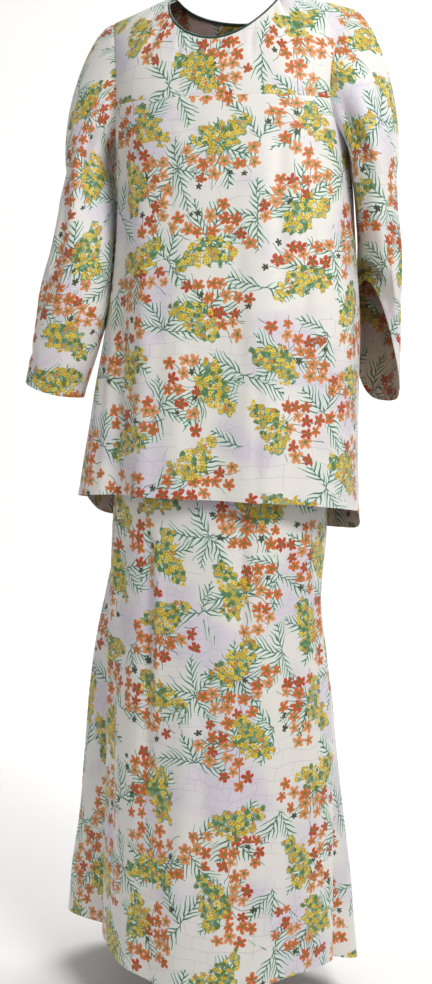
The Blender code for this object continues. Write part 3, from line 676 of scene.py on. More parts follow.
def skin_mesh(name, outer, normals, u, v, closed, offset, thickness=SHELL):
    """A thin wall: the outer skin is the grid and the inner one lies one thickness in."""
    rows, columns_made = outer.shape[:2]
    across = columns_made - 1 if closed else columns_made
    points = np.concatenate([outer[:, :across], (outer - normals * thickness)[:, :across]])
    r, c = np.meshgrid(np.arange(rows - 1), np.arange(columns_made - 1), indexing="ij")
    r, c = r.ravel(), c.ravel()
    corners = [(r, c), (r, c + 1), (r + 1, c + 1), (r + 1, c)]
    sign = (np.cross(outer[0, 1] - outer[0, 0], outer[1, 0] - outer[0, 0]) * normals[0, 0]).sum()
    if sign < 0:
        corners = corners[::-1]
    faces, places, slots = [], [], []

    def add(quad, skins, slot):
        index = [
            row * across + column % across + skin * rows * across
            for (row, column), skin in zip(quad, skins)
        ]
        faces.append(np.stack(index, -1))
        places.append(np.stack([np.stack([u[q], v[q]], -1) for q in quad], 1))
        slots.append(np.full(len(index[0]), slot))

    def rim(quad, onward):
        if onward:
            add(quad, (0, 0, 1, 1), 0)
        else:
            add(quad[::-1], (1, 1, 0, 0), 0)

    add(corners, (0, 0, 0, 0), 0)
    add(corners[::-1], (1, 1, 1, 1), 1)
    along = np.arange(columns_made - 1)
    for row in (0, rows - 1):
        here = np.full_like(along, row)
        quad = [(here, along), (here, along + 1), (here, along + 1), (here, along)]
        rim(quad, (sign > 0) == (row > 0))
    if not closed:
        up = np.arange(rows - 1)
        for column in (0, columns_made - 1):
            here = np.full_like(up, column)
            quad = [(up, here), (up + 1, here), (up + 1, here), (up, here)]
            rim(quad, (sign > 0) == (column == 0))
    faces = np.concatenate(faces)
    places = np.concatenate(places) + offset
    mesh = bpy.data.meshes.new(name)
    mesh.from_pydata(points.reshape(-1, 3).tolist(), [], faces.tolist())
    mesh.uv_layers.new(name="cloth")
    mesh.uv_layers["cloth"].data.foreach_set("uv", places.astype(np.float32).ravel())
    mesh.polygons.foreach_set("material_index", np.concatenate(slots).astype(np.int32))
    mesh.materials.append(PRINT)
    # the inner skin gets the reverse finish: the reverse side's own weaker print plus painted shade
    mesh.materials.append(REVERSE_AND_SHADE)
    mesh.shade_smooth()
    mesh.set_sharp_from_angle(angle=math.radians(SHARP_ANGLE))
    made = bpy.data.objects.new(name, mesh)
    bpy.context.scene.collection.objects.link(made)
    return made


def stitches(name, line, normals):
    """Thread stitches along a line of points, one joined mesh."""
    pitch, length, radius = STITCH_PITCH, STITCH_LENGTH, STITCH_RADIUS
    run = np.concatenate([[0], np.cumsum(np.linalg.norm(np.diff(line, axis=0), axis=1))])
    starts = np.arange(pitch, run[-1] - pitch, pitch)
    rings = ((0.0, 0.0), (0.08, 0.75), (0.5, 1.0), (0.92, 0.75), (1.0, 0.0))  # along it, radius
    sides = SIDES_OF_STITCH

    def at(distance, values):
        return np.stack([np.interp(distance, run, values[:, k]) for k in range(3)], -1)

    middle = at(starts + length / 2, line)
    ahead = unit(at(starts + length, line) - at(starts, line))
    up = unit(at(starts + length / 2, normals))
    side = unit(np.cross(ahead, up))
    points, faces = [], []
    for share, size in rings:
        for k in range(sides):
            turn = 2 * math.pi * k / sides
            out = side * math.cos(turn) + up * math.sin(turn)
            sink = up * radius * (0.2 - 1.2 * (2 * share - 1) ** 4)
            points.append(middle + ahead * length * (share - 0.5) + out * radius * size + sink)
    points = np.stack(points, 1)
    count = len(rings) * sides
    for ring in range(len(rings) - 1):
        for k in range(sides):
            a, b = ring * sides + k, ring * sides + (k + 1) % sides
            faces.append((a, b, b + sides, a + sides))
    faces = np.array(faces)[None] + (np.arange(len(starts)) * count)[:, None, None]
    mesh = bpy.data.meshes.new(name)
    mesh.from_pydata(points.reshape(-1, 3).tolist(), [], faces.reshape(-1, 4).tolist())
    mesh.materials.append(THREAD)
    mesh.shade_smooth()
    tidy = bmesh.new()
    tidy.from_mesh(mesh)
    bmesh.ops.remove_doubles(tidy, verts=tidy.verts, dist=1e-6)
    bmesh.ops.recalc_face_normals(tidy, faces=tidy.faces)
    tidy.to_mesh(mesh)
    tidy.free()
    made = bpy.data.objects.new(name, mesh)
    bpy.context.scene.collection.objects.link(made)
    return made


def strip(name, edge, up, finish):
    """The neck binding: a strip of cloth folded round the edge, open toward the cloth."""
    along = unit(np.roll(edge, -1, axis=0) - np.roll(edge, 1, axis=0))
    inward = facing_out(unit(np.cross(up, along)), edge.mean(axis=0), edge)
    turns = np.radians(np.linspace(-155, 155, 13))
    run = np.concatenate([[0], np.cumsum(np.linalg.norm(np.diff(edge, axis=0), axis=1))])
    ripple = 1 + 0.05 * np.sin(run / 0.0031) * np.sin(run / 0.0173 + 1)
    rings = []
    for shrink in (0.0, BINDING_SHELL):
        wide, thick = (half - shrink for half in BINDING_HALF)
        a = BINDING_SHIFT + wide * np.cos(turns)[:, None] * ripple
        b = -CLOTH / 2 + thick * np.sin(turns)[:, None] * ripple
        rings.append(edge + inward * a[..., None] + up * b[..., None])
    outer = np.concatenate([rings[0], rings[0][:, :1]], axis=1)
    inner = np.concatenate([rings[1], rings[1][:, :1]], axis=1)
    normals = unit(outer - inner)
    u, v = run_along(outer, 1), run_along(outer, 0)
    made = skin_mesh(name, outer, normals, u, v, True, (0, 0), BINDING_SHELL)
    made.data.materials.clear()
    made.data.materials.append(finish)
    made.data.polygons.foreach_set("material_index", np.zeros(len(made.data.polygons), np.int32))
    return made


class Net:
    """Makes nodes in one tree. A value is a socket, which gets linked, or a number or colour."""

    def __init__(self, tree):
        self.tree = tree

    def put(self, socket, value):
        if isinstance(value, bpy.types.NodeSocket):
            self.tree.links.new(value, socket)
        else:
            socket.default_value = value

    def node(self, kind, inputs=(), **settings):
        made = self.tree.nodes.new(kind)
        for key, value in settings.items():
            setattr(made, key, value)
        for key, value in inputs:
            self.put(made.inputs[key], value)
        return made

    def do(self, operation, *values, clamp=False):
        made = self.node("ShaderNodeMath", operation=operation, use_clamp=clamp)
        for socket, value in zip(made.inputs, values):
            self.put(socket, value)
        return made.outputs[0]

    def add(self, a, b):
        return self.do("ADD", a, b)

    def sub(self, a, b):
        return self.do("SUBTRACT", a, b)

    def mul(self, a, b):
        return self.do("MULTIPLY", a, b)

    def div(self, a, b):
        return self.do("DIVIDE", a, b)

    def mad(self, a, b, c):
        """a times b, plus c."""
        return self.do("MULTIPLY_ADD", a, b, c)

    def step(self, value, low, high):
        """0 at low and 1 at high, smooth between; low may be the higher one."""
        inputs = [("Value", value), ("From Min", low), ("From Max", high)]
        return self.node("ShaderNodeMapRange", inputs, interpolation_type="SMOOTHSTEP").outputs[0]

    def mix(self, share, a, b):
        """Colour a, and colour b over it by a share."""
        a, b = ((*c, 1.0) if isinstance(c, tuple) else c for c in (a, b))
        return self.node("ShaderNodeMix", [(0, share), (6, a), (7, b)], data_type="RGBA").outputs[2]

    def vector(self, x, y):
        return self.node("ShaderNodeCombineXYZ", [(0, x), (1, y)]).outputs[0]

    def parts(self, vector):
        return self.node("ShaderNodeSeparateXYZ", [(0, vector)]).outputs

    def noise(self, place, scale, detail=2.0):
        inputs = [("Vector", place), ("Scale", scale), ("Detail", detail)]
        return self.node("ShaderNodeTexNoise", inputs, noise_dimensions="2D").outputs

    def use(self, tree, *values):
        made = self.node("ShaderNodeGroup", node_tree=tree)
        for socket, value in zip(made.inputs, values):
            self.put(socket, value)
        return list(made.outputs)

    def ramp(self, value, stops, steps=False):
        made = self.node("ShaderNodeValToRGB", [("Fac", value)])
        ramp = made.color_ramp
        ramp.interpolation = "CONSTANT" if steps else "LINEAR"
        while len(ramp.elements) < len(stops):
            ramp.elements.new(0.5)
        for element, (place, colour) in zip(ramp.elements, stops):
            element.position = place
            element.color = (*colour, 1.0)
        return made.outputs[0]


def group(name, inputs, outputs, body):
    """A group of nodes. Its inputs and outputs are given as words in one string each."""
    inputs, outputs = inputs.split(), outputs.split()
    tree = bpy.data.node_groups.new(name, "ShaderNodeTree")
    for key in inputs:
        tree.interface.new_socket(key, in_out="INPUT", socket_type="NodeSocketFloat")
    for key in outputs:
        tree.interface.new_socket(key, in_out="OUTPUT", socket_type="NodeSocketFloat")
    given = tree.nodes.new("NodeGroupInput").outputs
    results = body(Net(tree), *[given[key] for key in inputs])
    made = tree.nodes.new("NodeGroupOutput")
    for key, value in zip(outputs, results):
        tree.links.new(value, made.inputs[key])
    return tree


def flower_body(net, x, y, at_x, at_y, radius, turn):
    """A star of five petals: its mask, how far out a point lies, and how near a petal's middle."""
    dx, dy = net.sub(x, at_x), net.sub(y, at_y)
    far = net.do("SQRT", net.mad(dx, dx, net.mul(dy, dy)))
    angle = net.mad(net.do("ARCTAN2", dy, dx), 2.5, turn)
    petal = net.do("ABSOLUTE", net.do("COSINE", angle))
    fullness = net.add(petal, net.do("SQRT", petal))
    edge = net.mul(radius, net.mad(fullness, 0.335, 0.33))
    mask = net.step(net.sub(edge, far), -0.0002, 0.0003)
    return mask, net.div(far, radius), petal


def feather_body(net, up, off, length, bend, reach, seed):
    """Needle leaves down both sides of a stem: the drawn lines, and the pale patch round them."""
    off = net.sub(off, net.mul(bend, net.mul(up, up)))
    side = net.do("SIGN", off)
    away = net.do("ABSOLUTE", off)
    start = net.mad(away, -1.1, up)
    start = net.mad(net.mul(away, away), -22.0, start)
    turn = net.mad(side, 0.27, net.div(start, LEAF_PITCH))
    number = net.mad(side, 37.0, net.add(net.do("FLOOR", turn), seed))
    chance = net.node("ShaderNodeTexWhiteNoise", [("W", number)], noise_dimensions="1D").outputs[0]
    beside = net.do("ABSOLUTE", net.sub(net.do("FRACT", turn), 0.5))
    beside = net.mul(beside, LEAF_PITCH * 0.66)
    share = net.div(start, length)
    tip = net.do("SQRT", net.do("SUBTRACT", 1.0, share, clamp=True))
    tip = net.mul(tip, net.step(share, -0.05, 0.15))
    ends = net.mul(net.mul(reach, tip), net.mad(chance, 0.62, 0.38))
    width = net.mad(net.step(away, ends, 0.0), 0.0007, 0.0006)
    leaf = net.step(net.sub(width, beside), -0.0001, 0.0002)
    leaf = net.mul(leaf, net.step(away, ends, net.sub(ends, 0.0004)))
    stem = net.mul(net.do("LESS_THAN", away, 0.0005), net.do("LESS_THAN", up, length))
    halo = net.step(away, net.add(ends, 0.002), net.mul(ends, 0.75))
    halo = net.mul(halo, net.step(share, 1.05, 0.95))
    return net.do("MAXIMUM", leaf, stem), halo


def cell_body(net, u, v):
    """Coordinates in a half-drop layout of cells, each turned and shifted by chance."""
    column = net.do("FLOOR", net.div(u, CELL_WIDE))
    v = net.mad(column, CELL_TALL * 0.5, v)
    row = net.do("FLOOR", net.div(v, CELL_TALL))
    x = net.sub(net.mad(column, -CELL_WIDE, u), CELL_WIDE / 2)
    y = net.sub(net.mad(row, -CELL_TALL, v), CELL_TALL / 2)
    inputs = [("Vector", net.vector(column, row))]
    chance = net.node("ShaderNodeTexWhiteNoise", inputs, noise_dimensions="2D")
    first, second, third = net.parts(chance.outputs["Color"])
    room = net.sub(CELL_WIDE / 2, net.do("ABSOLUTE", x))
    room = net.do("MINIMUM", room, net.sub(CELL_TALL / 2, net.do("ABSOLUTE", y)))
    x = net.mad(net.sub(third, 0.5), CELL_SHIFT[0], x)
    y = net.mad(net.sub(second, 0.5), CELL_SHIFT[1], y)
    angle = net.mul(first, 2 * math.pi)
    cosine, sine = net.do("COSINE", angle), net.do("SINE", angle)
    turned_x = net.sub(net.mul(x, cosine), net.mul(y, sine))
    turned_y = net.mad(x, sine, net.mul(y, cosine))
    return turned_x, turned_y, second, room


# Print, in metres of cloth
CELL_WIDE = 0.126  # the cells that hold one spray each
CELL_TALL = 0.114
CELL_SHIFT = (0.030, 0.026)  # how far chance moves a spray in its cell
LEAF_PITCH = 0.0098  # from one needle leaf to the next
LEAF_REACH = 0.025
LEAF_BEND = 12.0
LEAF_STEMS_LEFT_OUT = 0.46  # the share of them
FLOWER_SPACING = 0.0190
FLOWER_RADIUS = 0.0090
FLOWER_GROWTH = 0.0024  # how much larger the largest flower is
FLORET_SPACING = 0.0072
FLORET_RADIUS = 0.0048
UNSTEADY = 0.009  # how far the hand that drew it wavers
STALK_SWAY = 0.0022
BRICK_WIDE = 0.031  # the sketched lines of the ground
BRICK_TALL = 0.019
SKETCH_LINE = 0.0005
WEB_SCALE = 31.0
CLOUD_SCALE = 8.0  # clouds a metre
YARN_SCALE = 1400.0
CREPE_SCALE = 620.0
CREPE_DEPTH = 0.00012
# One spray of the print in its cell, in millimetres: ovals at x, y with half-width, half-height
FLOWER_OVALS = ((-20, -22, 38, 24), (27, -35, 28, 18), (-45, 9, 17, 22))
YELLOW_OVALS = ((13, 12, 30, 21), (-10, 27, 18, 13), (46, 14, 15, 12))
STEMS = 11
ANY_TURN = 6.28
# Fans of leaves: shift across and up of their cells, how many, shortest and how much longer.
# The last one shares its cells with the flowers.
LEAF_FANS = ((0.063, 0.029, 6, 0.020, 0.054), (0.0, 0.0, 6, 0.016, 0.050))

RED = (0.48, 0.062, 0.022)
ORANGE = (0.62, 0.16, 0.038)
APRICOT = (0.70, 0.30, 0.12)
MUSTARD = (0.64, 0.43, 0.030)
YELLOW = (0.78, 0.58, 0.060)
OCHRE = (0.62, 0.26, 0.035)
OLIVE = (0.13, 0.20, 0.035)
GREEN = (0.07, 0.22, 0.080)
LEAF_GREEN = (0.018, 0.115, 0.068)
MINT = (0.62, 0.78, 0.68)
BUD = (0.050, 0.062, 0.030)
BROWN = (0.20, 0.075, 0.025)
STEM = (0.035, 0.075, 0.062)
IVORY = (0.745, 0.730, 0.695)
LILAC = (0.655, 0.615, 0.690)
SKETCH = (0.36, 0.33, 0.44)
# The reverse tint is partly the reverse side's own weaker print and partly painted shade, darkening
# the inside as if it lay in shadow
REVERSE_TINT_AND_SHADE = (0.52, 0.41, 0.355)  # what the cloth's reverse side keeps of the print, darkened further as painted shade for the garment's inside


def scattered(net, place, spacing, randomness):
    """The nearest of a scatter of points: its place, its cell of the print and its chances."""
    inputs = [("Vector", place), ("Scale", 1 / spacing), ("Randomness", randomness)]
    cells = net.node("ShaderNodeTexVoronoi", inputs, voronoi_dimensions="2D")
    at_x, at_y, _ = net.parts(cells.outputs["Position"])
    local_x, local_y, _, _ = net.use(CELL, at_x, at_y)
    return at_x, at_y, local_x, local_y, net.parts(cells.outputs["Color"])


def inside(net, x, y, ovals):
    """Under 1 inside any of the ovals."""
    least = 9.0
    for cx, cy, wide, tall in ovals:
        dx = net.mad(x, 1000 / wide, -cx / wide)
        dy = net.mad(y, 1000 / tall, -cy / tall)
        least = net.do("MINIMUM", least, net.mad(dx, dx, net.mul(dy, dy)))
    return least


def polar(net, x, y):
    """Distance from the middle, and the angle in turns."""
    far = net.do("SQRT", net.mad(x, x, net.mul(y, y)))
    return far, net.div(net.do("ARCTAN2", y, x), 2 * math.pi)


def leaf_fan(net, x, y, seed, room, fans, shortest, spread):
    """Needle leaves on stems that fan out from a cell's middle, shorter near the cell's edge."""
    far, angle = polar(net, x, y)
    turn = net.mad(angle, float(fans), seed)
    number = net.mad(seed, 91.0, net.do("FLOOR", turn))
    chance = net.node("ShaderNodeTexWhiteNoise", [("W", number)], noise_dimensions="1D")
    size, bend, _ = net.parts(chance.outputs["Color"])
    lean = net.mul(net.sub(net.do("FRACT", turn), 0.5), 2 * math.pi / fans)
    up, off = net.mul(far, net.do("COSINE", lean)), net.mul(far, net.do("SINE", lean))
    drawn = net.do("GREATER_THAN", size, LEAF_STEMS_LEFT_OUT)
    length = net.mul(drawn, net.mad(size, spread, shortest))
    length = net.do("MAXIMUM", length, 0.001)
    bend = net.mad(bend, LEAF_BEND, -LEAF_BEND / 2)
    reach = net.mul(net.mul(net.step(room, 0.0, 0.014), LEAF_REACH), drawn)
    return net.use(FEATHER, up, off, length, bend, reach, number)


def print_tree():
    """The printed colour of the cloth at its own coordinates."""
    tree = bpy.data.node_groups.new("flower_print", "ShaderNodeTree")
    tree.interface.new_socket("Color", in_out="OUTPUT", socket_type="NodeSocketColor")
    net = Net(tree)
    place = net.node("ShaderNodeUVMap", uv_map="cloth").outputs[0]
    # the ground: ivory with lilac clouds and faint sketched lines
    clouds, shades = net.noise(place, CLOUD_SCALE)
    colour = net.mix(net.step(clouds, 0.44, 0.66), IVORY, LILAC)
    shift_x, _, patch = net.parts(shades)
    bent = net.node("ShaderNodeVectorMath", [(0, shades), (3, 0.05)], operation="SCALE").outputs[0]
    bent = net.node("ShaderNodeVectorMath", [(0, place), (1, bent)]).outputs[0]
    inputs = [("Vector", bent), ("Scale", 1.0), ("Mortar Size", SKETCH_LINE)]
    inputs += [("Mortar Smooth", 0.3), ("Brick Width", BRICK_WIDE), ("Row Height", BRICK_TALL)]
    bricks = net.node("ShaderNodeTexBrick", inputs, offset=0.37, squash=2.2, squash_frequency=3)
    drawn = net.mul(bricks.outputs["Fac"], net.step(patch, 0.52, 0.58))
    inputs = [("Vector", place), ("Scale", WEB_SCALE), ("Randomness", 0.8)]
    how = {"voronoi_dimensions": "2D", "feature": "DISTANCE_TO_EDGE"}
    web = net.node("ShaderNodeTexVoronoi", inputs, **how)
    lines = net.step(web.outputs["Distance"], 0.018, 0.008)
    drawn = net.do("MAXIMUM", drawn, net.mul(lines, net.step(shift_x, 0.52, 0.60)))
    colour = net.mix(net.mul(drawn, 0.42), colour, SKETCH)
    # the spray that this point lies in, drawn with a slightly unsteady hand
    wave_x, wave_y, _ = net.parts(net.noise(place, 38.0, 1.0)[1])
    u, v, _ = net.parts(place)
    u = net.mad(net.sub(wave_x, 0.5), UNSTEADY, u)
    v = net.mad(net.sub(wave_y, 0.5), UNSTEADY, v)
    for shift_u, shift_v, fans, shortest, spread in LEAF_FANS:
        made = net.use(CELL, net.add(u, shift_u), net.add(v, shift_v))
        line, halo = leaf_fan(net, *made, fans, shortest, spread)
        colour = net.mix(net.mul(halo, 0.5), colour, MINT)
        colour = net.mix(net.mul(line, 0.92), colour, LEAF_GREEN)
    x, y, seed, _ = made
    far, angle = polar(net, x, y)
    # thin stems run out among the flowers
    flowers_here = inside(net, x, y, FLOWER_OVALS)
    turn = net.mad(angle, float(STEMS), net.mul(seed, 3.0))
    lean = net.mul(net.sub(net.do("FRACT", turn), 0.5), 2 * math.pi / STEMS)
    sway = net.mul(net.do("SINE", net.mad(far, 150.0, net.do("FLOOR", turn))), STALK_SWAY)
    off = net.do("ABSOLUTE", net.mad(far, lean, sway))
    stalk = net.mul(net.step(off, 0.0007, 0.0004), net.do("LESS_THAN", flowers_here, 1.25))
    colour = net.mix(net.mul(stalk, 0.85), colour, STEM)
    # flowers and buds
    at_x, at_y, local_x, local_y, chance = scattered(net, place, FLOWER_SPACING, 0.62)
    where = inside(net, local_x, local_y, FLOWER_OVALS)
    bud = net.do("GREATER_THAN", net.mad(where, 0.45, chance[1]), 1.12)
    radius = net.mad(chance[2], FLOWER_GROWTH, FLOWER_RADIUS)
    radius = net.mul(radius, net.mad(bud, -0.48, 1.0))
    turned = net.mul(chance[0], ANY_TURN)
    mask, out, petal = net.use(FLOWER, u, v, at_x, at_y, radius, turned)
    mask = net.mul(mask, net.do("LESS_THAN", where, 1.15))
    stops = ((0.0, RED), (0.15, RED), (0.27, ORANGE), (0.46, ORANGE), (0.62, APRICOT))
    petals = net.ramp(chance[1], stops)
    ray = net.mul(net.step(petal, 0.80, 0.98), net.step(out, 0.72, 0.40))
    petals = net.mix(net.mul(ray, 0.6), petals, BROWN)
    petals = net.mix(net.mul(net.step(petal, 0.45, 0.1), 0.45), petals, RED)
    petals = net.mix(net.step(out, 0.27, 0.15), petals, OLIVE)
    petals = net.mix(bud, petals, BUD)
    # clusters of small yellow florets over green
    at_x, at_y, local_x, local_y, chance = scattered(net, place, FLORET_SPACING, 0.9)
    near = net.mad(chance[0], 0.5, inside(net, local_x, local_y, YELLOW_OVALS))
    here = net.do("LESS_THAN", near, 1.3)
    turned = net.mul(chance[1], ANY_TURN)
    floret, out, _ = net.use(FLOWER, u, v, at_x, at_y, FLORET_RADIUS, turned)
    stops = ((0.0, MUSTARD), (0.34, YELLOW), (0.66, OCHRE), (0.74, OLIVE), (0.84, GREEN))
    yellow = net.ramp(chance[2], stops, steps=True)
    yellow = net.mix(net.step(out, 0.70, 0.95), yellow, OLIVE)
    yellow = net.mix(net.mul(net.step(out, 0.30, 0.14), 0.75), yellow, BROWN)
    leaves = net.mul(here, net.do("GREATER_THAN", chance[1], 0.25))
    colour = net.mix(net.mul(leaves, 0.75), colour, GREEN)
    colour = net.mix(mask, colour, petals)
    colour = net.mix(net.mul(floret, here), colour, yellow)
    result = tree.nodes.new("NodeGroupOutput")
    tree.links.new(colour, result.inputs[0])
    return tree


def finish_of(name, roughness):
    """A new material, its nodes and its shader."""
    made = bpy.data.materials.new(name)
    made.use_nodes = True
    net = Net(made.node_tree)
    shader = made.node_tree.nodes["Principled BSDF"]
    shader.inputs["Roughness"].default_value = roughness
    return made, net, shader


def cloth_finish(name, reverse):
    """The printed crepe, or its reverse side, where the print shows through weakly and is darkened
    further by painted shade for the inside.
    """
    made, net, shader = finish_of(name, 0.56)
    place = net.node("ShaderNodeUVMap", uv_map="cloth").outputs[0]
    colour = net.node("ShaderNodeGroup", node_tree=PRINT_TREE).outputs[0]
    # painted shade: the tint darkens the reverse side beyond its own weaker print, as if the inside
    # lay in shadow
    if reverse:
        inputs = [(0, colour), (1, REVERSE_TINT_AND_SHADE)]
        colour = net.node("ShaderNodeVectorMath", inputs, operation="MULTIPLY").outputs[0]
    yarn = net.noise(place, YARN_SCALE, 1.0)[0]
    shade = net.mad(yarn, 0.10, 0.95)
    inputs = [(0, colour), (3, shade)]
    colour = net.node("ShaderNodeVectorMath", inputs, operation="SCALE").outputs[0]
    net.put(shader.inputs["Base Color"], colour)
    shader.inputs["Specular IOR Level"].default_value = 0.35
    shader.inputs["Sheen Weight"].default_value = 0.12
    shader.inputs["Sheen Roughness"].default_value = 0.4
    crepe = net.noise(place, CREPE_SCALE, 3.0)[0]
    inputs = [("Strength", 0.35), ("Distance", CREPE_DEPTH), ("Height", crepe)]
    bump = net.node("ShaderNodeBump", inputs)
    net.put(shader.inputs["Normal"], bump.outputs[0])
    return made


def plain_finish(name, colour, roughness, grain):
    """A plain thread or satin colour, with a grain of this many marks a metre."""
    made, net, shader = finish_of(name, roughness)
    place = net.node("ShaderNodeTexCoord").outputs["Object"]
    mark = net.node("ShaderNodeTexNoise", [("Vector", place), ("Scale", grain), ("Detail", 2.0)])
    dark = tuple(0.6 * part for part in colour)
    net.put(shader.inputs["Base Color"], net.mix(mark.outputs[0], colour, dark))
    inputs = [("Strength", 0.3), ("Distance", 0.0001), ("Height", mark.outputs[0])]
    net.put(shader.inputs["Normal"], net.node("ShaderNodeBump", inputs).outputs[0])
    return made


FLOWER = group("flower", "x y at_x at_y radius turn", "mask far petal", flower_body)
FEATHER = group("feather", "up off length bend reach seed", "line halo", feather_body)
CELL = group("cell", "u v", "x y seed room", cell_body)
PRINT_TREE = print_tree()
PRINT = cloth_finish("printed_cloth_face", False)
# the reverse finish: the reverse side's weaker print plus painted shade for the inside
REVERSE_AND_SHADE = cloth_finish("printed_cloth_reverse_and_shade", True)
THREAD = plain_finish("thread", (0.78, 0.76, 0.72), 0.6, 900.0)
SATIN = plain_finish("binding_satin", (0.016, 0.055, 0.042), 0.38, 700.0)

PIECES = {}


def keep(name, made, hem_rows=()):
    """Records a piece of cloth in PIECES, and makes the stitches along its hem."""
    piece, outer, normals = made
    with_pieces = []
    for number, row in enumerate(hem_rows):
        thread = stitches(f"stitches_{name}_{number}", outer[row], normals[row])
        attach(thread, "root")
        with_pieces.append(thread)
    area = np.zeros(len(piece.data.polygons))
    piece.data.polygons.foreach_get("area", area)
    PIECES[name] = (piece, with_pieces, area.sum() / 2)


def make_tunic():
    near = np.array(COLUMN_EXTRAS)
    s = np.linspace(-1, 1, TUNIC_COLUMNS + 1)
    s = np.unique(np.concatenate([s, 1 - near, near - 1]))
    centre = int(np.argmin(np.abs(s)))
    body_length = UNDERARM_Z - TUNIC_HEM_SIDE_Z
    low = np.array(HEM_STEPS) / body_length
    body = np.concatenate([low, np.linspace(low[-1], 1, BODY_ROWS + 1)[1:]])
    chest = 1 + np.linspace(0, 1, CHEST_ROWS + 1)[1:]
    k = np.linspace(0, 1, YOKE_ROWS + 1)
    yoke = 3 - (1 - k) ** 1.5
    seam_rows = np.array([0.02, 0.055])
    chest = np.unique(np.concatenate([chest, 2 - seam_rows]))
    yoke = np.unique(np.concatenate([yoke, 2 + seam_rows * 0.4]))
    front_rows = np.concatenate([body, chest])
    back_rows = np.concatenate([front_rows, yoke[1:]])
    grids = {}
    for name, rows, facing in (
        ("tunic_front", front_rows, -1),
        ("tunic_yoke", yoke, -1),
        ("tunic_back", back_rows, 1),
    ):
        columns_here, heights = np.meshgrid(s, rows)
        grids[name] = tunic_panel(columns_here, heights, facing), heights
    underarm = len(body) - 1
    for name, (points, heights) in grids.items():
        middle = points * [0, 0, 1] + [0, 0, SHOULDER_MIDDLE_Z] * (heights[..., None] > 2)
        origin = (0 if name == "tunic_yoke" else underarm, centre)
        sewn = ["first_column", "last_column", "last_row"]
        if name == "tunic_yoke":
            sewn.append("first_row")
        hem = None if name == "tunic_yoke" else 0
        made = shell(name, points, origin, middle, sewn, hem)
        keep(name, made, () if hem is None else (STITCH_ROW,))
        if name == "tunic_yoke":
            yoke_made = made
        if name == "tunic_back":
            back_made = made
    first = int(np.argmin(np.abs(s + NECK_SHARE)))
    last = int(np.argmin(np.abs(s - NECK_SHARE)))
    edge, up = (
        np.concatenate([yoke_made[k][-1, first:last], back_made[k][-1, last:first:-1]])
        for k in (1, 2)
    )
    binding = strip("cloth_neck_binding", edge, up, SATIN)
    PIECES["neck_binding"] = (binding, [], None)
    return grids, underarm


def make_sleeves(grids, underarm):
    for sleeve in SLEEVES:
        column = sleeve.column
        front = grids["tunic_front"][0][underarm:, column]
        yoke = grids["tunic_yoke"][0][1:, column]
        back = grids["tunic_back"][0][underarm:, column][::-1][1:]
        loop = np.concatenate([front, yoke, back])
        run = np.concatenate([[0], np.cumsum(np.linalg.norm(np.diff(loop, axis=0), axis=1))])
        angles = 360 * run / run[-1]

        def seam(degrees):
            around = np.clip(degrees, 0, 360)
            return np.stack([np.interp(around, angles, loop[:, k]) for k in range(3)], -1)

        near = np.array([1.2, 4.0])
        around = np.linspace(0, 360, SLEEVE_COLUMNS + 1)
        around = np.unique(np.concatenate([around, near, 360 - near]))
        cap = np.unique(np.concatenate([np.linspace(0, 1, CAP_ROWS + 1), [0.008, 0.02]]))
        drop = sleeve.sections[0][0] - sleeve.sections[-1][0]
        low = 2 - np.array(HEM_STEPS)[::-1] / drop
        arm = np.concatenate([np.linspace(1, low[0], ARM_ROWS + 1)[1:], low[1:]])
        degrees, share = np.meshgrid(around, np.concatenate([cap, arm]))
        points = sleeve_point(sleeve, degrees, share, seam)
        if sleeve.side > 0:
            beside = np.clip(np.cos(np.radians(degrees)), 0, 1) ** 0.5
            points[..., 0] -= NEARER * beside * bell(points[..., 2] - NEAREST_Z, NEAR_SPAN)
        middle = points[:, :-1].mean(axis=1, keepdims=True)
        origin = (len(cap) - 1, len(around) // 2)
        sewn = ["first_row", "first_column", "last_column"]
        made = shell(sleeve.name, points, origin, middle, sewn, -1, closed=True, level=origin[0])
        keep(sleeve.name, made, (-1 - STITCH_ROW,))


def make_skirt():
    flat = np.array([1.0, 1.0, 0.0])
    length = SKIRT_TOP_Z - SKIRT_HEM_Z
    low = 1 - np.array(HEM_STEPS)[::-1] / length
    heights = np.concatenate([np.linspace(0, low[0], SKIRT_ROWS + 1), low[1:]])
    near = np.array([0.3, 0.9])
    for name, start in (("skirt_front", -90), ("skirt_back", 90)):
        angles = np.linspace(start, start + 180, SKIRT_COLUMNS + 1)
        angles = np.unique(np.concatenate([angles, start + near, start + 180 - near]))
        degrees, v = np.meshgrid(angles, heights)
        points = skirt_point(degrees, v)
        origin = (0, len(angles) // 2)
        sewn = ["first_row", "first_column", "last_column"]
        made = shell(name, points, origin, points * (1 - flat), sewn, -1)
        keep(name, made, (-1 - STITCH_ROW,))
    around = np.linspace(0, 360, BAND_COLUMNS + 1)
    degrees, v = np.meshgrid(around, np.zeros(BAND_ROWS))
    ring = skirt_point(degrees, v)
    out = unit(ring * flat)
    heights = np.linspace(SEAM_GAP / 2, WAISTBAND_HEIGHT, BAND_ROWS)[:, None, None]
    points = ring + out * (BAND_CLOTH - CLOTH) / 2 + heights * (1 - flat)
    sewn = ["first_row", "last_row"]
    origin = (0, BAND_COLUMNS // 2)
    made = shell("skirt_waistband", points, origin, points * (1 - flat), sewn, closed=True)
    keep("skirt_waistband", made, (2, -3))


grids, underarm = make_tunic()
make_sleeves(grids, underarm)
make_skirt()

for name, (piece, with_pieces, area) in PIECES.items():
    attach(piece, "root")
    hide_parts(name)
    if name == "neck_binding":
        continue

# Floor, light and camera
FLOOR_Z = -1.56
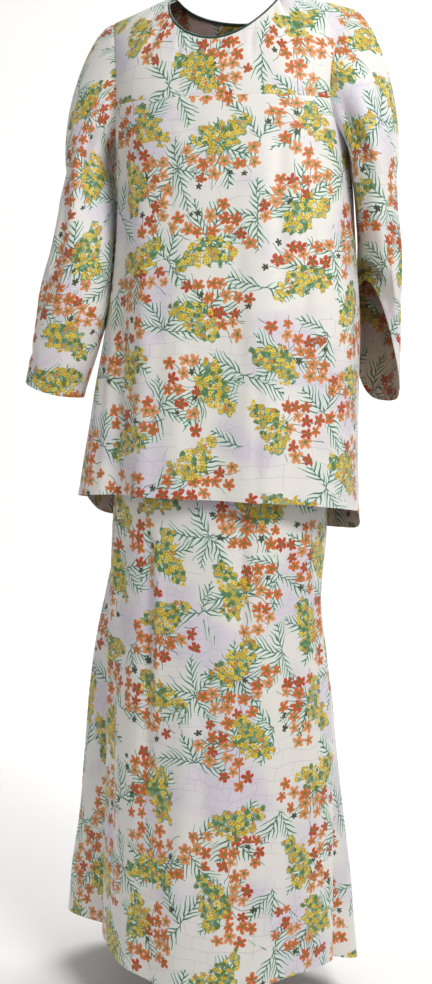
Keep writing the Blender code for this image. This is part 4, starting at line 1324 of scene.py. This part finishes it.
# The floor curves up into a pale wall all round
FLOOR_FLAT, FLOOR_CURVE, WALL_TOP = 3.6, 1.8, 4.4
FLOOR_SIDES = 96
FLOOR_INNERMOST = 0.02
floor_rings = [(FLOOR_INNERMOST, 0.0)]
for bend in np.radians(np.linspace(0, 90, 13)):
    ring = (FLOOR_FLAT + FLOOR_CURVE * math.sin(bend), FLOOR_CURVE * (1 - math.cos(bend)))
    floor_rings.append(ring)
floor_rings.append((FLOOR_FLAT + FLOOR_CURVE, WALL_TOP))
floor_points, floor_faces = [], []
for number, (radius, height) in enumerate(floor_rings):
    for side in range(FLOOR_SIDES):
        turn = 2 * math.pi * side / FLOOR_SIDES
        floor_points.append((radius * math.cos(turn), radius * math.sin(turn), FLOOR_Z + height))
        here, beside = number * FLOOR_SIDES + side, number * FLOOR_SIDES + (side + 1) % FLOOR_SIDES
        if number + 1 < len(floor_rings):
            floor_faces.append((here, here + FLOOR_SIDES, beside + FLOOR_SIDES, beside))
floor_faces.append(tuple(range(FLOOR_SIDES)))
floor_mesh = bpy.data.meshes.new("floor")
floor_mesh.from_pydata(floor_points, [], floor_faces)
floor_mesh.shade_smooth()
floor = bpy.data.objects.new("floor", floor_mesh)
bpy.context.scene.collection.objects.link(floor)
pale, net, shader = finish_of("pale_floor", 0.95)
shader.inputs["Base Color"].default_value = (0.80, 0.79, 0.78, 1.0)
shader.inputs["Specular IOR Level"].default_value = 0.1
floor_mesh.materials.append(pale)

world = bpy.data.worlds.new("studio")
bpy.context.scene.world = world
world.use_nodes = True
sky = world.node_tree.nodes["Background"]
sky.inputs["Color"].default_value = (1.0, 1.0, 1.0, 1.0)
sky.inputs["Strength"].default_value = 0.32

for name, place, target, size, power, colour in (
    # metres and watts
    ("key", (1.70, -1.50, 1.05), (0, 0, 0.20), 0.9, 58, (1.0, 0.985, 0.96)),
    ("fill", (-1.2, -2.7, 0.4), (0, 0, 0.0), 1.6, 8, (0.97, 0.985, 1.0)),
    ("wall", (0.0, 1.6, 1.9), (0, 4.2, -1.0), 2.6, 165, (1.0, 1.0, 1.0)),
):
    data = bpy.data.lights.new(name, "AREA")
    data.shape = "DISK"
    data.size = size
    data.energy = power
    data.color = colour
    lamp = bpy.data.objects.new(name, data)
    bpy.context.scene.collection.objects.link(lamp)
    lamp.location = place
    aim = Vector(target) - Vector(place)
    lamp.rotation_mode = "QUATERNION"
    lamp.rotation_quaternion = aim.to_track_quat("-Z", "Y")

# The camera that fits the photograph
FOCAL_PIXELS = 1286.0
FRAME_HEIGHT = 984
SENSOR = 36  # millimetres
DISTANCE = 2.0
EYE_Z = -0.557
SIDEWAYS = -0.008
TURN, PITCH, ROLL = 16.4, 5.5, 1.3  # degrees to the wearer's left, down and over
turn, pitch, roll = (math.radians(angle) for angle in (TURN, PITCH, ROLL))
right = Vector((math.cos(turn), math.sin(turn), 0))
level = Vector((-math.sin(turn), math.cos(turn), 0))
upward = Vector((0, 0, 1))
look = level * math.cos(pitch) - upward * math.sin(pitch)
top = level * math.sin(pitch) + upward * math.cos(pitch)
eye = -DISTANCE * level + right * SIDEWAYS + upward * EYE_Z
rolled_right = right * math.cos(roll) + top * math.sin(roll)
rolled_top = -right * math.sin(roll) + top * math.cos(roll)
camera = bpy.data.objects.new("camera", bpy.data.cameras.new("camera"))
bpy.context.scene.collection.objects.link(camera)
camera.data.sensor_width = SENSOR
camera.data.lens = FOCAL_PIXELS / FRAME_HEIGHT * SENSOR
camera.data.clip_start = 0.05
camera.matrix_world = Matrix(
    (
        (rolled_right.x, rolled_top.x, -look.x, eye.x),
        (rolled_right.y, rolled_top.y, -look.y, eye.y),
        (rolled_right.z, rolled_top.z, -look.z, eye.z),
        (0, 0, 0, 1),
    )
)
bpy.context.scene.camera = camera
bpy.context.scene.view_settings.view_transform = "Standard"

bpy.context.view_layer.update()
